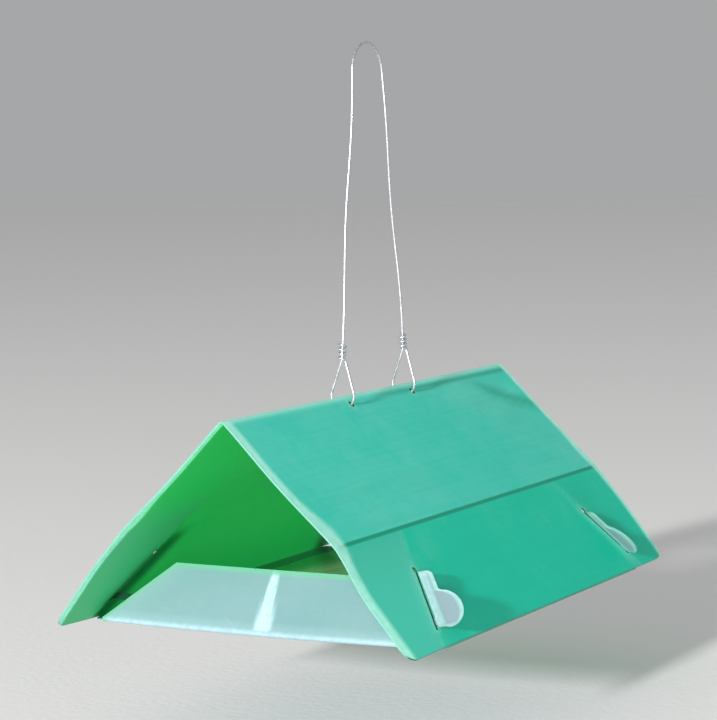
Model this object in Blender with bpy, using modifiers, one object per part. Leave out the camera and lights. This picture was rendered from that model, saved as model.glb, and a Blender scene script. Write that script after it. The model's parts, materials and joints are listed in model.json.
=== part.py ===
"""Delta pheromone trap: a creased green roof sheet, a pale sticky floor whose folded end lips
lock into the walls with ears, a wire hanger through the ridge and a lure on the glue.

Metres, +Z up, +Y along the ridge. The origin is the point where a branch carries the hanger.
"""
import math

import bmesh
import bpy
from mathutils import Matrix, Vector

# Roof sheet
TRAP_LENGTH = 0.280
UPPER_PANEL = 0.076          # ridge to crease, along the slope
LOWER_PANEL = 0.058          # crease to bottom edge, along the slope
UPPER_SLOPE = math.radians(43.7)
LOWER_SLOPE = math.radians(51.5)
ROOF_SHEET = 0.0008
CORNER_RADIUS = 0.004
RIDGE_RADIUS = 0.0016        # mid-surface radius of the ridge fold
SCORE_WIDTH = 0.0016         # width of a scored crease
SCORE_WEB = 0.00045          # sheet left in a crease

# Floor sheet
FLOOR_SHEET = 0.0007
FLOOR_MARGIN = 0.0003        # floor edge inside the walls' bottom edges
LIP_SETBACK = 0.030          # roof end to lip fold
LIP_RADIUS = 0.0010          # mid-surface radius of a lip fold
LIP_LEAN = math.radians(33.0)
LIP_HEIGHT = 0.0295          # fold to top edge, along the lip
LIP_FOOT_GAP = 0.0020        # lip foot to wall
LIP_TOP_HALF = 0.056         # half width of a lip's top edge

# Locking ears and their slits
EAR_START = 0.0085           # lip fold to the lower end of an ear, along the lip
EAR_CHORD = 0.0295
EAR_REACH = 0.0150
LOBE_RADIUS = 0.0085
LOBE_CENTER = 0.0072         # chord's lower end to the middle of the lobe
LOBE_START = math.radians(-112)
SHOULDER_REACH = 0.0090
NECK_LOW = 0.0095            # neck limits, from the lip fold along the lip
NECK_HIGH = 0.0205
EAR_STANDOFF = 0.0008        # bend line to the wall's outer face
EAR_BEND = math.radians(30.0)   # ear bent out of the lip's plane, towards the trap's middle
EAR_RELIEF = 0.00045         # bend line to the ear's root
NECK_RELIEF = 0.00015        # bend line to the neck's end
SLIT_WIDTH = 0.0018
SLIT_OVERRUN = 0.0012        # slit length past the ear at each end
STOP_HOLE_RADIUS = 0.0016    # round end that stops a slit from tearing

# Glue and lure
GLUE_THICKNESS = 0.0004
GLUE_SIDE_MARGIN = 0.010
GLUE_END_MARGIN = 0.006
GLUE_CREASE_MARGIN = 0.003
LURE_LENGTH = 0.0190
LURE_SKIRT_RADIUS = 0.0046
LURE_SKIRT_LENGTH = 0.0075
LURE_PLUG_RADIUS = 0.0034
LURE_TIP_RADIUS = 0.0029
LURE_WELL_RADIUS = 0.0018
LURE_WELL_DEPTH = 0.0070

# Hanger
WIRE_DIAMETER = 0.0012
RIDGE_DROP = 0.165           # branch contact to ridge
ARCH_RADIUS = 0.015
EYE_SPACING = 0.062
EYE_RADIUS = 0.006
EYE_HEIGHT = 0.017           # ridge to the top of an eye
HANGER_HOLE_RADIUS = 0.0018
TAIL_TURNS = 3.5
TAIL_PITCH = 0.0021
TAIL_CLEARANCE = 0.0005      # wire to wire in the wound tail

CLEARANCE = 0.0003           # gap between faces that touch

# Points along the round stretches
CORNER_STEPS = 6
FOLD_STEPS = 10
HOLE_STEPS = 16
EYE_STEPS = 20
ARCH_STEPS = 14
TAIL_STEPS = 10              # for each turn of a wound tail
TURNING_STEPS = 24

ROOF_GREEN = (0.045, 0.40, 0.30)
FLOOR_WHITE = (0.46, 0.68, 0.70)
GLUE_CLEAR = (0.72, 0.74, 0.60)
LURE_RUBBER = (0.42, 0.12, 0.07)
WIRE_ZINC = (0.55, 0.56, 0.58)


# ---- section of the trap, right half, as (x, z) points of the sheet's middle
RIDGE = Vector((0.0, -RIDGE_DROP))
CREASE = RIDGE + UPPER_PANEL * Vector((math.cos(UPPER_SLOPE), -math.sin(UPPER_SLOPE)))
EAVE = CREASE + LOWER_PANEL * Vector((math.cos(LOWER_SLOPE), -math.sin(LOWER_SLOPE)))

FLOOR_TOP = EAVE.y - ROOF_SHEET / 2 * math.cos(LOWER_SLOPE) - CLEARANCE
FLOOR_MID = FLOOR_TOP - FLOOR_SHEET / 2
FLOOR_HALF_WIDTH = EAVE.x - FLOOR_MARGIN
FLOOR_HALF_LENGTH = TRAP_LENGTH / 2 - LIP_SETBACK
FOLD_TURN = math.pi / 2 + LIP_LEAN
LIP_FOOT = Vector((FLOOR_HALF_LENGTH + LIP_RADIUS * math.sin(FOLD_TURN),
                   FLOOR_MID + LIP_RADIUS * (1 - math.cos(FOLD_TURN))))


def wall_offset(along_lip, outward):
    """X of the wall's middle plus an outward offset, at a height along the lip."""
    height = LIP_FOOT.y + along_lip * math.cos(LIP_LEAN)
    middle = EAVE.x - (height - EAVE.y) / math.tan(LOWER_SLOPE)
    return middle + outward / math.sin(LOWER_SLOPE)


BEND_OFFSET = ROOF_SHEET / 2 + EAR_STANDOFF
BEND_DIRECTION = Vector((wall_offset(1.0, 0.0) - wall_offset(0.0, 0.0), 1.0)).normalized()
EAR_DIRECTION = Vector((BEND_DIRECTION.y, -BEND_DIRECTION.x))
EAR_ROOT = Vector((wall_offset(EAR_START, BEND_OFFSET), EAR_START))


# ---- outlines
def arc(center, radius, start, end, steps):
    """Points on a circle from one angle to another, both ends included."""
    angles = [start + (end - start) * i / steps for i in range(steps + 1)]
    return [(center[0] + radius * math.cos(a), center[1] + radius * math.sin(a)) for a in angles]


def panel_outline(half_length, low, high, low_radius):
    """A rectangle whose two lower corners are rounded."""
    points = [(half_length, high), (-half_length, high)]
    if low_radius == 0.0:
        return points + [(-half_length, low), (half_length, low)]
    inner = half_length - low_radius
    points += arc((-inner, low + low_radius), low_radius, math.pi, 1.5 * math.pi, CORNER_STEPS)
    points += arc((inner, low + low_radius), low_radius, 1.5 * math.pi, 2 * math.pi, CORNER_STEPS)
    return points


def band_outline(center, radius, thickness, start, end, steps):
    """A bent strip: an outer arc and the inner arc back again."""
    outer = arc(center, radius + thickness / 2, start, end, steps)
    inner = arc(center, radius - thickness / 2, end, start, steps)
    return outer + inner


def slit_outline(low, high):
    """A slit between two points, round at the low end and opened to a stop hole at the high end."""
    run = (high - low).normalized()
    half = SLIT_WIDTH / 2
    heading = math.atan2(run.y, run.x)
    opening = math.asin(half / STOP_HOLE_RADIUS)
    points = arc(low, half, heading + math.pi / 2, heading + 1.5 * math.pi, CORNER_STEPS)
    points += arc(high, STOP_HOLE_RADIUS, heading + math.pi + opening,
                  heading + 3 * math.pi - opening, 2 * CORNER_STEPS)
    return points


def lip_outline():
    """Right half of a lip in (across, along) axes, with the neck that reaches through the wall."""
    foot_half = wall_offset(0.0, -ROOF_SHEET / 2) - LIP_FOOT_GAP

    def edge(along):
        return foot_half + (LIP_TOP_HALF - foot_half) * along / LIP_HEIGHT

    neck_end = BEND_OFFSET - NECK_RELIEF * math.sin(LOWER_SLOPE) / EAR_DIRECTION.x
    return [
        (SCORE_WIDTH / 2 + CLEARANCE, CLEARANCE),
        (edge(CLEARANCE), CLEARANCE),
        (edge(NECK_LOW), NECK_LOW),
        (wall_offset(NECK_LOW, neck_end), NECK_LOW),
        (wall_offset(NECK_HIGH, neck_end), NECK_HIGH),
        (edge(NECK_HIGH), NECK_HIGH),
        (LIP_TOP_HALF, LIP_HEIGHT),
        (SCORE_WIDTH / 2 + CLEARANCE, LIP_HEIGHT),
    ]


def ear_outline():
    """An ear in (reach, chord) axes: a round lobe below and a lower shoulder above."""
    lobe = (EAR_REACH - LOBE_RADIUS, LOBE_CENTER)
    meet = math.acos((SHOULDER_REACH - lobe[0]) / LOBE_RADIUS)
    round_end = SHOULDER_REACH / 2
    points = [(EAR_RELIEF, 0.0)]
    points += arc(lobe, LOBE_RADIUS, LOBE_START, meet, 2 * CORNER_STEPS)
    points += arc((SHOULDER_REACH - round_end, EAR_CHORD - round_end), round_end,
                  0.0, math.pi / 2, CORNER_STEPS)
    return points + [(EAR_RELIEF, EAR_CHORD)]


# ---- building
def collection(name):
    made = bpy.data.collections.new(name)
    bpy.context.scene.collection.children.link(made)
    return made


def material(name, colour, roughness, metallic):
    made = bpy.data.materials.new(name)
    made.use_nodes = True
    shader = made.node_tree.nodes["Principled BSDF"]
    shader.inputs["Base Color"].default_value = (*colour, 1.0)
    shader.inputs["Roughness"].default_value = roughness
    shader.inputs["Metallic"].default_value = metallic
    return made


def frame(origin, x_axis, y_axis):
    """A placing matrix from an origin and two of its axes."""
    x_axis = Vector(x_axis).normalized()
    y_axis = Vector(y_axis).normalized()
    z_axis = x_axis.cross(y_axis)
    turned = Matrix((x_axis, y_axis, z_axis)).transposed().to_4x4()
    return Matrix.Translation(Vector(origin)) @ turned


def place(obj, parts, parent, matrix, finish):
    parts.objects.link(obj)
    obj.parent = parent
    obj.data.materials.append(finish)
    obj.matrix_world = matrix
    return obj


def cut_sheet(name, loops, thickness, matrix, parts, parent, finish):
    """A flat piece cut from sheet: the first loop is its outline, the others are holes."""
    shape = bpy.data.curves.new(name, "CURVE")
    shape.dimensions = "2D"
    shape.fill_mode = "BOTH"
    shape.extrude = thickness / 2
    for loop in loops:
        spline = shape.splines.new("POLY")
        spline.points.add(len(loop) - 1)
        for point, (across, along) in zip(spline.points, loop):
            point.co = (across, along, 0.0, 1.0)
        spline.use_cyclic_u = True
    return place(bpy.data.objects.new(name, shape), parts, parent, matrix, finish)


def slab(name, size, matrix, parts, parent, finish):
    """A plain strip with its size in the mesh."""
    mesh = bpy.data.meshes.new(name)
    body = bmesh.new()
    bmesh.ops.create_cube(body, size=1.0)
    bmesh.ops.scale(body, vec=size, verts=body.verts)
    body.to_mesh(mesh)
    body.free()
    return place(bpy.data.objects.new(name, mesh), parts, parent, matrix, finish)


def wall_frame(side, foot, slope):
    """Axes of a wall panel from its foot: along the ridge, up the slope, outward."""
    up = Vector((-side * math.cos(slope), 0.0, math.sin(slope)))
    out = Vector((side * math.sin(slope), 0.0, math.cos(slope)))
    return frame((side * foot.x, 0.0, foot.y), up.cross(out), up)


def lip_frame(end):
    """Axes of a lip from its fold: across, up the lip, outward. end is -1 in front, 1 behind."""
    up = Vector((0.0, -end * math.sin(LIP_LEAN), math.cos(LIP_LEAN)))
    return frame((0.0, end * LIP_FOOT.x, LIP_FOOT.y), (-end, 0.0, 0.0), up)


def wall_slits():
    """Slit outlines in a lower panel's axes, one for each end."""
    wall_mid = wall_offset(EAR_START, 0.0)
    slits = []
    for end in (-1, 1):
        ends = []
        for chord in (-SLIT_OVERRUN, EAR_CHORD + SLIT_OVERRUN):
            across, along = Vector((wall_mid, EAR_START)) + chord * BEND_DIRECTION
            depth = LIP_FOOT.x - along * math.sin(LIP_LEAN)
            ends.append(Vector((end * depth, (EAVE.x - across) / math.cos(LOWER_SLOPE))))
        slits.append(slit_outline(ends[0], ends[1]))
    return slits


def add_roof(parts, parent, finish):
    half = TRAP_LENGTH / 2
    joint = SCORE_WIDTH / 2 + CLEARANCE
    fold_end = RIDGE_RADIUS * math.tan(UPPER_SLOPE) + CLEARANCE
    holes = [arc((end * EYE_SPACING / 2, UPPER_PANEL - EYE_RADIUS), HANGER_HOLE_RADIUS,
                 0.0, 2 * math.pi * (1 - 1 / HOLE_STEPS), HOLE_STEPS - 1) for end in (-1, 1)]
    upper = panel_outline(half, joint, UPPER_PANEL - fold_end, 0.0)
    lower = panel_outline(half, 0.0, LOWER_PANEL - joint, CORNER_RADIUS)
    for side, label in ((-1, "left"), (1, "right")):
        cut_sheet(f"roof_{label}_upper", [upper] + holes, ROOF_SHEET,
                  wall_frame(side, CREASE, UPPER_SLOPE), parts, parent, finish)
        cut_sheet(f"roof_{label}_lower", [lower] + wall_slits(), ROOF_SHEET,
                  wall_frame(side, EAVE, LOWER_SLOPE), parts, parent, finish)
        slab(f"{label}_wall_crease", (TRAP_LENGTH, SCORE_WIDTH, SCORE_WEB),
             wall_frame(side, CREASE, (UPPER_SLOPE + LOWER_SLOPE) / 2), parts, parent, finish)
    center = (0.0, RIDGE.y - RIDGE_RADIUS / math.cos(UPPER_SLOPE))
    ridge = band_outline(center, RIDGE_RADIUS, SCORE_WEB,
                         math.pi / 2 - UPPER_SLOPE, math.pi / 2 + UPPER_SLOPE, FOLD_STEPS)
    cut_sheet("ridge_fold", [ridge], TRAP_LENGTH,
              frame((0.0, 0.0, 0.0), (1, 0, 0), (0, 0, 1)), parts, parent, finish)


def add_floor(parts, parent, finish):
    joint = SCORE_WIDTH / 2 + CLEARANCE
    width = FLOOR_HALF_WIDTH - joint
    length = 2 * FLOOR_HALF_LENGTH
    for side, label in ((-1, "left"), (1, "right")):
        slab(f"floor_{label}", (width, length, FLOOR_SHEET),
             Matrix.Translation((side * (joint + width / 2), 0.0, FLOOR_MID)),
             parts, parent, finish)
    slab("floor_crease", (SCORE_WIDTH, length, SCORE_WEB),
         Matrix.Translation((0.0, 0.0, FLOOR_MID)), parts, parent, finish)


def add_lip(end, label, parts, parent, finish):
    """One folded lip: its fold, its two halves and the crease between them."""
    spread = CLEARANCE / LIP_RADIUS
    fold = band_outline((0.0, LIP_RADIUS), LIP_RADIUS, SCORE_WEB,
                        -math.pi / 2 + spread, -math.pi / 2 + FOLD_TURN, FOLD_STEPS)
    fold_width = 2 * (wall_offset(0.0, -ROOF_SHEET / 2) - LIP_FOOT_GAP)
    cut_sheet(f"{label}_lip_fold", [fold], fold_width,
              frame((0.0, end * FLOOR_HALF_LENGTH, FLOOR_MID), (0, end, 0), (0, 0, 1)),
              parts, parent, finish)
    right = lip_outline()
    left = [(-across, along) for across, along in right]
    for side, half in ((1, "right"), (-1, "left")):
        shape = right if side * -end > 0 else left
        cut_sheet(f"{label}_lip_{half}", [shape], FLOOR_SHEET, lip_frame(end),
                  parts, parent, finish)
    slab(f"{label}_lip_crease", (SCORE_WIDTH, LIP_HEIGHT - CLEARANCE, SCORE_WEB),
         lip_frame(end) @ Matrix.Translation((0.0, (LIP_HEIGHT + CLEARANCE) / 2, 0.0)),
         parts, parent, finish)


def add_ear(end, side, label, parts, parent, finish):
    """One ear, with its origin on its bend line just outside the wall."""
    up = Vector((0.0, -end * math.sin(LIP_LEAN), math.cos(LIP_LEAN)))
    across = Vector((side, 0.0, 0.0))
    fold = Vector((0.0, end * LIP_FOOT.x, LIP_FOOT.y))
    root = fold + EAR_ROOT.x * across + EAR_ROOT.y * up
    inward = Vector((0.0, -end * math.cos(LIP_LEAN), -math.sin(LIP_LEAN)))
    flat_reach = EAR_DIRECTION.x * across + EAR_DIRECTION.y * up
    reach = math.cos(EAR_BEND) * flat_reach + math.sin(EAR_BEND) * inward
    chord = BEND_DIRECTION.x * across + BEND_DIRECTION.y * up
    cut_sheet(label, [ear_outline()], FLOOR_SHEET, frame(root, reach, chord),
              parts, parent, finish)


def add_glue(parts, parent, finish):
    inner = SCORE_WIDTH / 2 + GLUE_CREASE_MARGIN
    width = FLOOR_HALF_WIDTH - GLUE_SIDE_MARGIN - inner
    length = 2 * (FLOOR_HALF_LENGTH - GLUE_END_MARGIN)
    height = FLOOR_TOP + CLEARANCE + GLUE_THICKNESS / 2
    for side, label in ((-1, "left"), (1, "right")):
        slab(f"glue_coat_{label}", (width, length, GLUE_THICKNESS),
             Matrix.Translation((side * (inner + width / 2), 0.0, height)),
             parts, parent, finish)


def add_lure(parts, parent, finish):
    """A turned rubber plug with a skirt and a well, lying along the trap on the glue."""
    half = LURE_LENGTH / 2
    skirt = half - LURE_SKIRT_LENGTH
    profile = [
        (0.0, half - LURE_WELL_DEPTH),
        (LURE_WELL_RADIUS, half - LURE_WELL_DEPTH),
        (LURE_WELL_RADIUS, half),
        (LURE_SKIRT_RADIUS, half),
        (LURE_SKIRT_RADIUS, skirt),
        (LURE_PLUG_RADIUS, skirt - (LURE_SKIRT_RADIUS - LURE_PLUG_RADIUS)),
        (LURE_TIP_RADIUS, -half),
        (0.0, -half),
    ]
    mesh = bpy.data.meshes.new("rubber_lure")
    edges = [(i, i + 1) for i in range(len(profile) - 1)]
    mesh.from_pydata([(radius, 0.0, height) for radius, height in profile], edges, [])
    height = FLOOR_TOP + 2 * CLEARANCE + GLUE_THICKNESS + LURE_SKIRT_RADIUS
    lure = place(bpy.data.objects.new("rubber_lure", mesh), parts, parent,
                 frame((0.0, 0.0, height), (1, 0, 0), (0, 0, 1)), finish)
    turn = lure.modifiers.new("turn", "SCREW")
    turn.steps = TURNING_STEPS
    turn.render_steps = TURNING_STEPS
    turn.use_merge_vertices = True
    turn.merge_threshold = 0.00001


def eye_points(end):
    """One foot of the hanger: round the ridge through both holes, then wound up its own leg."""
    place_y = end * EYE_SPACING / 2
    lean = math.asin(EYE_RADIUS / EYE_HEIGHT)
    loop = arc((0.0, RIDGE.y), EYE_RADIUS, math.pi - lean, 2 * math.pi + lean, EYE_STEPS)
    points = [Vector((across, place_y, height)) for across, height in loop]
    foot, direction = leg_line(end)
    side = Vector((1.0, 0.0, 0.0))
    front = direction.cross(side)
    radius = WIRE_DIAMETER + TAIL_CLEARANCE
    for i in range(int(TAIL_TURNS * TAIL_STEPS) + 1):
        turns = i / TAIL_STEPS
        angle = 2 * math.pi * turns
        climb = TAIL_PITCH * turns * direction
        points.append(foot + climb + radius * (math.cos(angle) * side + math.sin(angle) * front))
    return [foot] + points


def arch_center():
    return Vector((0.0, WIRE_DIAMETER / 2 - ARCH_RADIUS))


def leg_angle():
    """Angle on the arch where a leg leaves it straight for the top of its eye."""
    top = Vector((EYE_SPACING / 2, RIDGE.y + EYE_HEIGHT)) - arch_center()
    return math.atan2(top.y, top.x) + math.acos(ARCH_RADIUS / top.length)


def leg_line(end):
    """The top of an eye, and the unit direction of the leg above it."""
    foot = Vector((0.0, end * EYE_SPACING / 2, RIDGE.y + EYE_HEIGHT))
    across = ARCH_RADIUS * math.cos(leg_angle())
    height = arch_center().y + ARCH_RADIUS * math.sin(leg_angle())
    return foot, (Vector((0.0, end * across, height)) - foot).normalized()


def add_hanger(parts, finish):
    """One wire: an arch over the branch, two legs, two eyes and two wound tails."""
    angle = leg_angle()
    arch = [Vector((0.0, across, height)) for across, height
            in arc(arch_center(), ARCH_RADIUS, angle, math.pi - angle, ARCH_STEPS)]
    route = list(reversed(eye_points(1))) + arch + eye_points(-1)
    wire = bpy.data.curves.new("wire_hanger", "CURVE")
    wire.dimensions = "3D"
    wire.bevel_depth = WIRE_DIAMETER / 2
    wire.bevel_resolution = 2
    wire.use_fill_caps = True
    spline = wire.splines.new("POLY")
    spline.points.add(len(route) - 1)
    for point, position in zip(spline.points, route):
        point.co = (*position, 1.0)
    return place(bpy.data.objects.new("wire_hanger", wire), parts, None, Matrix(), finish)


def main():
    for obj in list(bpy.data.objects):
        bpy.data.objects.remove(obj)
    parts = collection("delta_pheromone_trap")
    pivot = bpy.data.objects.new("trap_pivot", None)
    pivot.location = (0.0, 0.0, RIDGE.y)
    parts.objects.link(pivot)
    bpy.context.view_layer.update()

    green = material("roof_sheet", ROOF_GREEN, 0.45, 0.0)
    pale = material("floor_sheet", FLOOR_WHITE, 0.40, 0.0)
    add_roof(parts, pivot, green)
    add_floor(parts, pivot, pale)
    for end, label in ((-1, "front"), (1, "rear")):
        add_lip(end, label, parts, pivot, pale)
        for side, half in ((-1, "left"), (1, "right")):
            add_ear(end, side, f"{label}_{half}_ear", parts, pivot, pale)
    add_glue(parts, pivot, material("glue", GLUE_CLEAR, 0.15, 0.0))
    add_lure(parts, pivot, material("lure_rubber", LURE_RUBBER, 0.7, 0.0))
    add_hanger(parts, material("zinc_wire", WIRE_ZINC, 0.35, 1.0))


main()
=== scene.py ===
"""Finished look of a folded-sheet delta trap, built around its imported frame.

Metres, +Z up, +Y along the ridge, the front opening at -Y. The origin is the point where a
branch carries the wire hanger. Every piece has its own operator, and main() runs them in order.
"""
import json
import math
from types import SimpleNamespace

import bpy
import numpy as np
from bpy.props import FloatProperty, FloatVectorProperty, PointerProperty
from mathutils import Matrix, Vector


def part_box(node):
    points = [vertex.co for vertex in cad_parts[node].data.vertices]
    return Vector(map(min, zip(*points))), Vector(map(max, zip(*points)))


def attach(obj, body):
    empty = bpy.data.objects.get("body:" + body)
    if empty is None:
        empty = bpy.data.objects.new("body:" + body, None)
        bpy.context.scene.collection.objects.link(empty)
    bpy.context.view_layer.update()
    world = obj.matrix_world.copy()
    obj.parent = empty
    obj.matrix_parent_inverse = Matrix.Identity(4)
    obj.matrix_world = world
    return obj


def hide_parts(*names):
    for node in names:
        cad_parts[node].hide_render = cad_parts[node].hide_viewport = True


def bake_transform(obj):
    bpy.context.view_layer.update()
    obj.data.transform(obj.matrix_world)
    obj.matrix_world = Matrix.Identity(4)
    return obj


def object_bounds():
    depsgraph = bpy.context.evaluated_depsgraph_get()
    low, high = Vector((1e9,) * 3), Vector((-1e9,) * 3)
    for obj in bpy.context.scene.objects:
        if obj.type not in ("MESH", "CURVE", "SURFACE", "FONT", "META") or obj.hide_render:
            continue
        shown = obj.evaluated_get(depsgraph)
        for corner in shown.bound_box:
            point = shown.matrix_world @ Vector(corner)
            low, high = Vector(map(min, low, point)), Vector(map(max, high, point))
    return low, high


bl_info = {
    "name": "Delta Trap",
    "version": (1, 0, 0),
    "blender": (4, 5, 0),
    "location": "3D Viewport > Sidebar > Trap",
    "description": "Builds a folded-sheet delta trap with its tray, ears, glue, lure and hanger",
    "category": "Mesh",
}

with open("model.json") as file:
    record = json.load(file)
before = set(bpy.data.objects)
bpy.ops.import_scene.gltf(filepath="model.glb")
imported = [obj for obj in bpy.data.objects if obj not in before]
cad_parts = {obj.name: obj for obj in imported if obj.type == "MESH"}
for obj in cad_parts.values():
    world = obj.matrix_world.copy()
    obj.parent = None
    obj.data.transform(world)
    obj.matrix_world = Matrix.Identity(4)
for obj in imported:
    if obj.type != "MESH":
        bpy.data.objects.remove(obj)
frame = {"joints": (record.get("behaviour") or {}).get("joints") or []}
CAD_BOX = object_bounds()
JOINTS = {joint["name"]: joint for joint in frame["joints"]}

FRONT, REAR = -1, 1
LEFT, RIGHT = -1, 1
ENDS = {"front": FRONT, "rear": REAR}
SIDES = {"left": LEFT, "right": RIGHT}

# steps of the grids, in metres
ROOF_STEPS = 0.0028, 0.0026       # along the ridge, across the sheet
TRAY_STEP = 0.0030
EAR_STEP = 0.0008
GLUE_STEPS = 0.0022, 0.0026       # across the trap, along it
WIRE_STEP = 0.00042
WIRE_SIDES = 14
LURE_SIDES = 56
SHARP_SHEET = math.radians(35)

SLIT_CLEARANCE = 0.0001           # end of a neck to the wall's inner face
NECK_SLANT = 0.72                 # distance through the wall for each length of neck
TAIL_TURNS = 3.5                  # turns of a wire's tail about its own leg

# shares of the flap turn that each wall takes ahead of its slit; below 0 it turns outwards
FRONT_RIGHT_TURN, FRONT_LEFT_TURN, REAR_TURN = 1.0, -0.6, -0.15
FLAP_ROUNDING = 0.0012            # run over which a wall starts to turn

# soft dents in the right panel: run at the rear end, slant, half width, start and full depth
# along the ridge, depth
DENTS = ((0.016, 0.10, 0.0045, 0.065, 0.110, 0.00090),
         (0.028, 0.16, 0.0050, 0.085, 0.125, 0.00070))
DENT_FADE = 0.120, 0.139          # the dents end here, short of the rear edge

# painted shade streaks on the right panel, under the ridge and on the dents' shaded sides:
# strength, run, slant, middle along the ridge, half width, start and full strength along the ridge
SHADE_STREAKS = ((0.9, 0.0042, 0.00, 0.000, 0.0016, -0.010, 0.030),
           (0.8, 0.0080, 0.45, 0.090, 0.0040, 0.080, 0.110),
           (0.5, 0.0200, 0.35, 0.100, 0.0026, 0.090, 0.125))


# ---- settings that a user would change
def length_setting(name, description, default):
    return FloatProperty(name=name, description=description, default=default, min=0.0,
                         precision=5, subtype="DISTANCE", unit="LENGTH")


def angle_setting(name, description, default):
    return FloatProperty(name=name, description=description, default=math.radians(default),
                         subtype="ANGLE", unit="ROTATION")


def colour_setting(name, description, default):
    return FloatVectorProperty(name=name, description=description, default=default,
                               size=3, min=0.0, max=1.0, subtype="COLOR")


class TrapSheets(bpy.types.PropertyGroup):
    """Sizes of the folded roof and of the floor tray."""
    roof_sheet: length_setting("Roof sheet", "Thickness of the roof sheet", 0.0008)
    tray_sheet: length_setting("Tray sheet", "Thickness of the floor tray's sheet", 0.0007)
    score_width: length_setting("Score width", "Width of a pressed crease", 0.0024)
    score_depth: length_setting("Score depth", "Depth of a pressed crease", 0.00022)
    ridge_radius: length_setting("Ridge radius", "Middle radius of the ridge fold", 0.0016)
    corner_radius: length_setting("Corner radius", "Rounding of the roof's lower corners", 0.007)
    slit_width: length_setting("Slit width", "Width of the slit that an ear passes", 0.0013)
    slit_overrun: length_setting("Slit overrun", "Slit length past the ear at each end", 0.0012)
    stop_hole: length_setting("Stop hole radius", "Round end that stops a slit tearing", 0.0015)
    hanger_hole: length_setting("Hanger hole radius", "Holes that the wire passes", 0.0018)
    hole_spacing: length_setting("Hole spacing", "Hanger holes apart, along the ridge", 0.062)
    hole_drop: length_setting("Hole drop", "Ridge to hanger hole, down the slope", 0.0060)
    lip_radius: length_setting("Lip fold radius", "Middle radius of a lip's fold", 0.0010)
    lip_height: length_setting("Lip height", "Fold to top edge, along the lip", 0.0295)
    lip_top: length_setting("Lip top", "Half width of a lip's top edge", 0.0540)
    tray_sag: length_setting("Tray sag", "How far the floor hangs at its middle", 0.0014)
    tray_lift: length_setting("Tray lift", "How far the floor's side edges curl up", 0.0003)
    lip_tuck: length_setting("Lip tuck", "Lip edges inside the fold's ends", 0.0030)
    flap_turn: angle_setting("Flap turn", "Turn of a wall ahead of its slit", 4.0)


class TrapEars(bpy.types.PropertyGroup):
    """Sizes of the locking ears and of the necks that carry them."""
    start: length_setting("Ear start", "Lip fold to the ear's lower end, along the lip", 0.0085)
    chord: length_setting("Ear length", "Length of an ear along its bend line", 0.0295)
    reach: length_setting("Ear reach", "How far the lobe stands out from the bend line", 0.0134)
    lobe_radius: length_setting("Lobe radius", "Half width of the lower lobe, outwards", 0.0080)
    lobe_half: length_setting("Lobe half length", "Half length of the lobe, up the bend", 0.0098)
    lobe_centre: length_setting("Lobe centre", "Ear's lower end to the lobe's middle", 0.0085)
    shoulder: length_setting("Shoulder reach", "How far the upper end stands out", 0.0058)
    neck_low: length_setting("Neck foot", "Lip fold to the neck's lower edge", 0.0095)
    neck_high: length_setting("Neck top", "Lip fold to the neck's upper edge", 0.0125)
    standoff: length_setting("Standoff", "Wall face to bend line", 0.0008)
    curl: length_setting("Curl", "How far an ear's lobe curls out of its flat", 0.0011)
    bend: angle_setting("Bend", "Turn of an ear out of the lip's plane, at rest", 30.0)
    bend_radius: length_setting("Bend radius", "Half the run over which an ear bends", 0.0008)


class TrapSmallParts(bpy.types.PropertyGroup):
    """Sizes of the glue, the lure and the hanger."""
    glue: length_setting("Glue", "Thickness of the glue coat", 0.0004)
    skirt_radius: length_setting("Skirt radius", "Outer radius of the lure's skirt", 0.0046)
    skirt_length: length_setting("Skirt length", "Length of the lure's skirt", 0.0075)
    plug_radius: length_setting("Plug radius", "Radius of the lure's plug", 0.0034)
    tip_radius: length_setting("Tip radius", "Radius of the lure's tip", 0.0029)
    well_radius: length_setting("Well radius", "Radius of the lure's well", 0.0018)
    well_depth: length_setting("Well depth", "Depth of the lure's well", 0.0070)
    wire: length_setting("Wire diameter", "Diameter of the hanger's wire", 0.0012)
    arch_radius: length_setting("Arch radius", "Bend of the wire over the branch", 0.015)
    eye_radius: length_setting("Eye radius", "Round foot of the wire about the ridge", 0.006)
    eye_height: length_setting("Eye height", "Ridge to the top of an eye", 0.017)
    tail_pitch: length_setting("Tail pitch", "Climb of a wound tail in one turn", 0.0021)
    tail_gap: length_setting("Tail gap", "Wire to wire in a wound tail", 0.0005)


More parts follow.
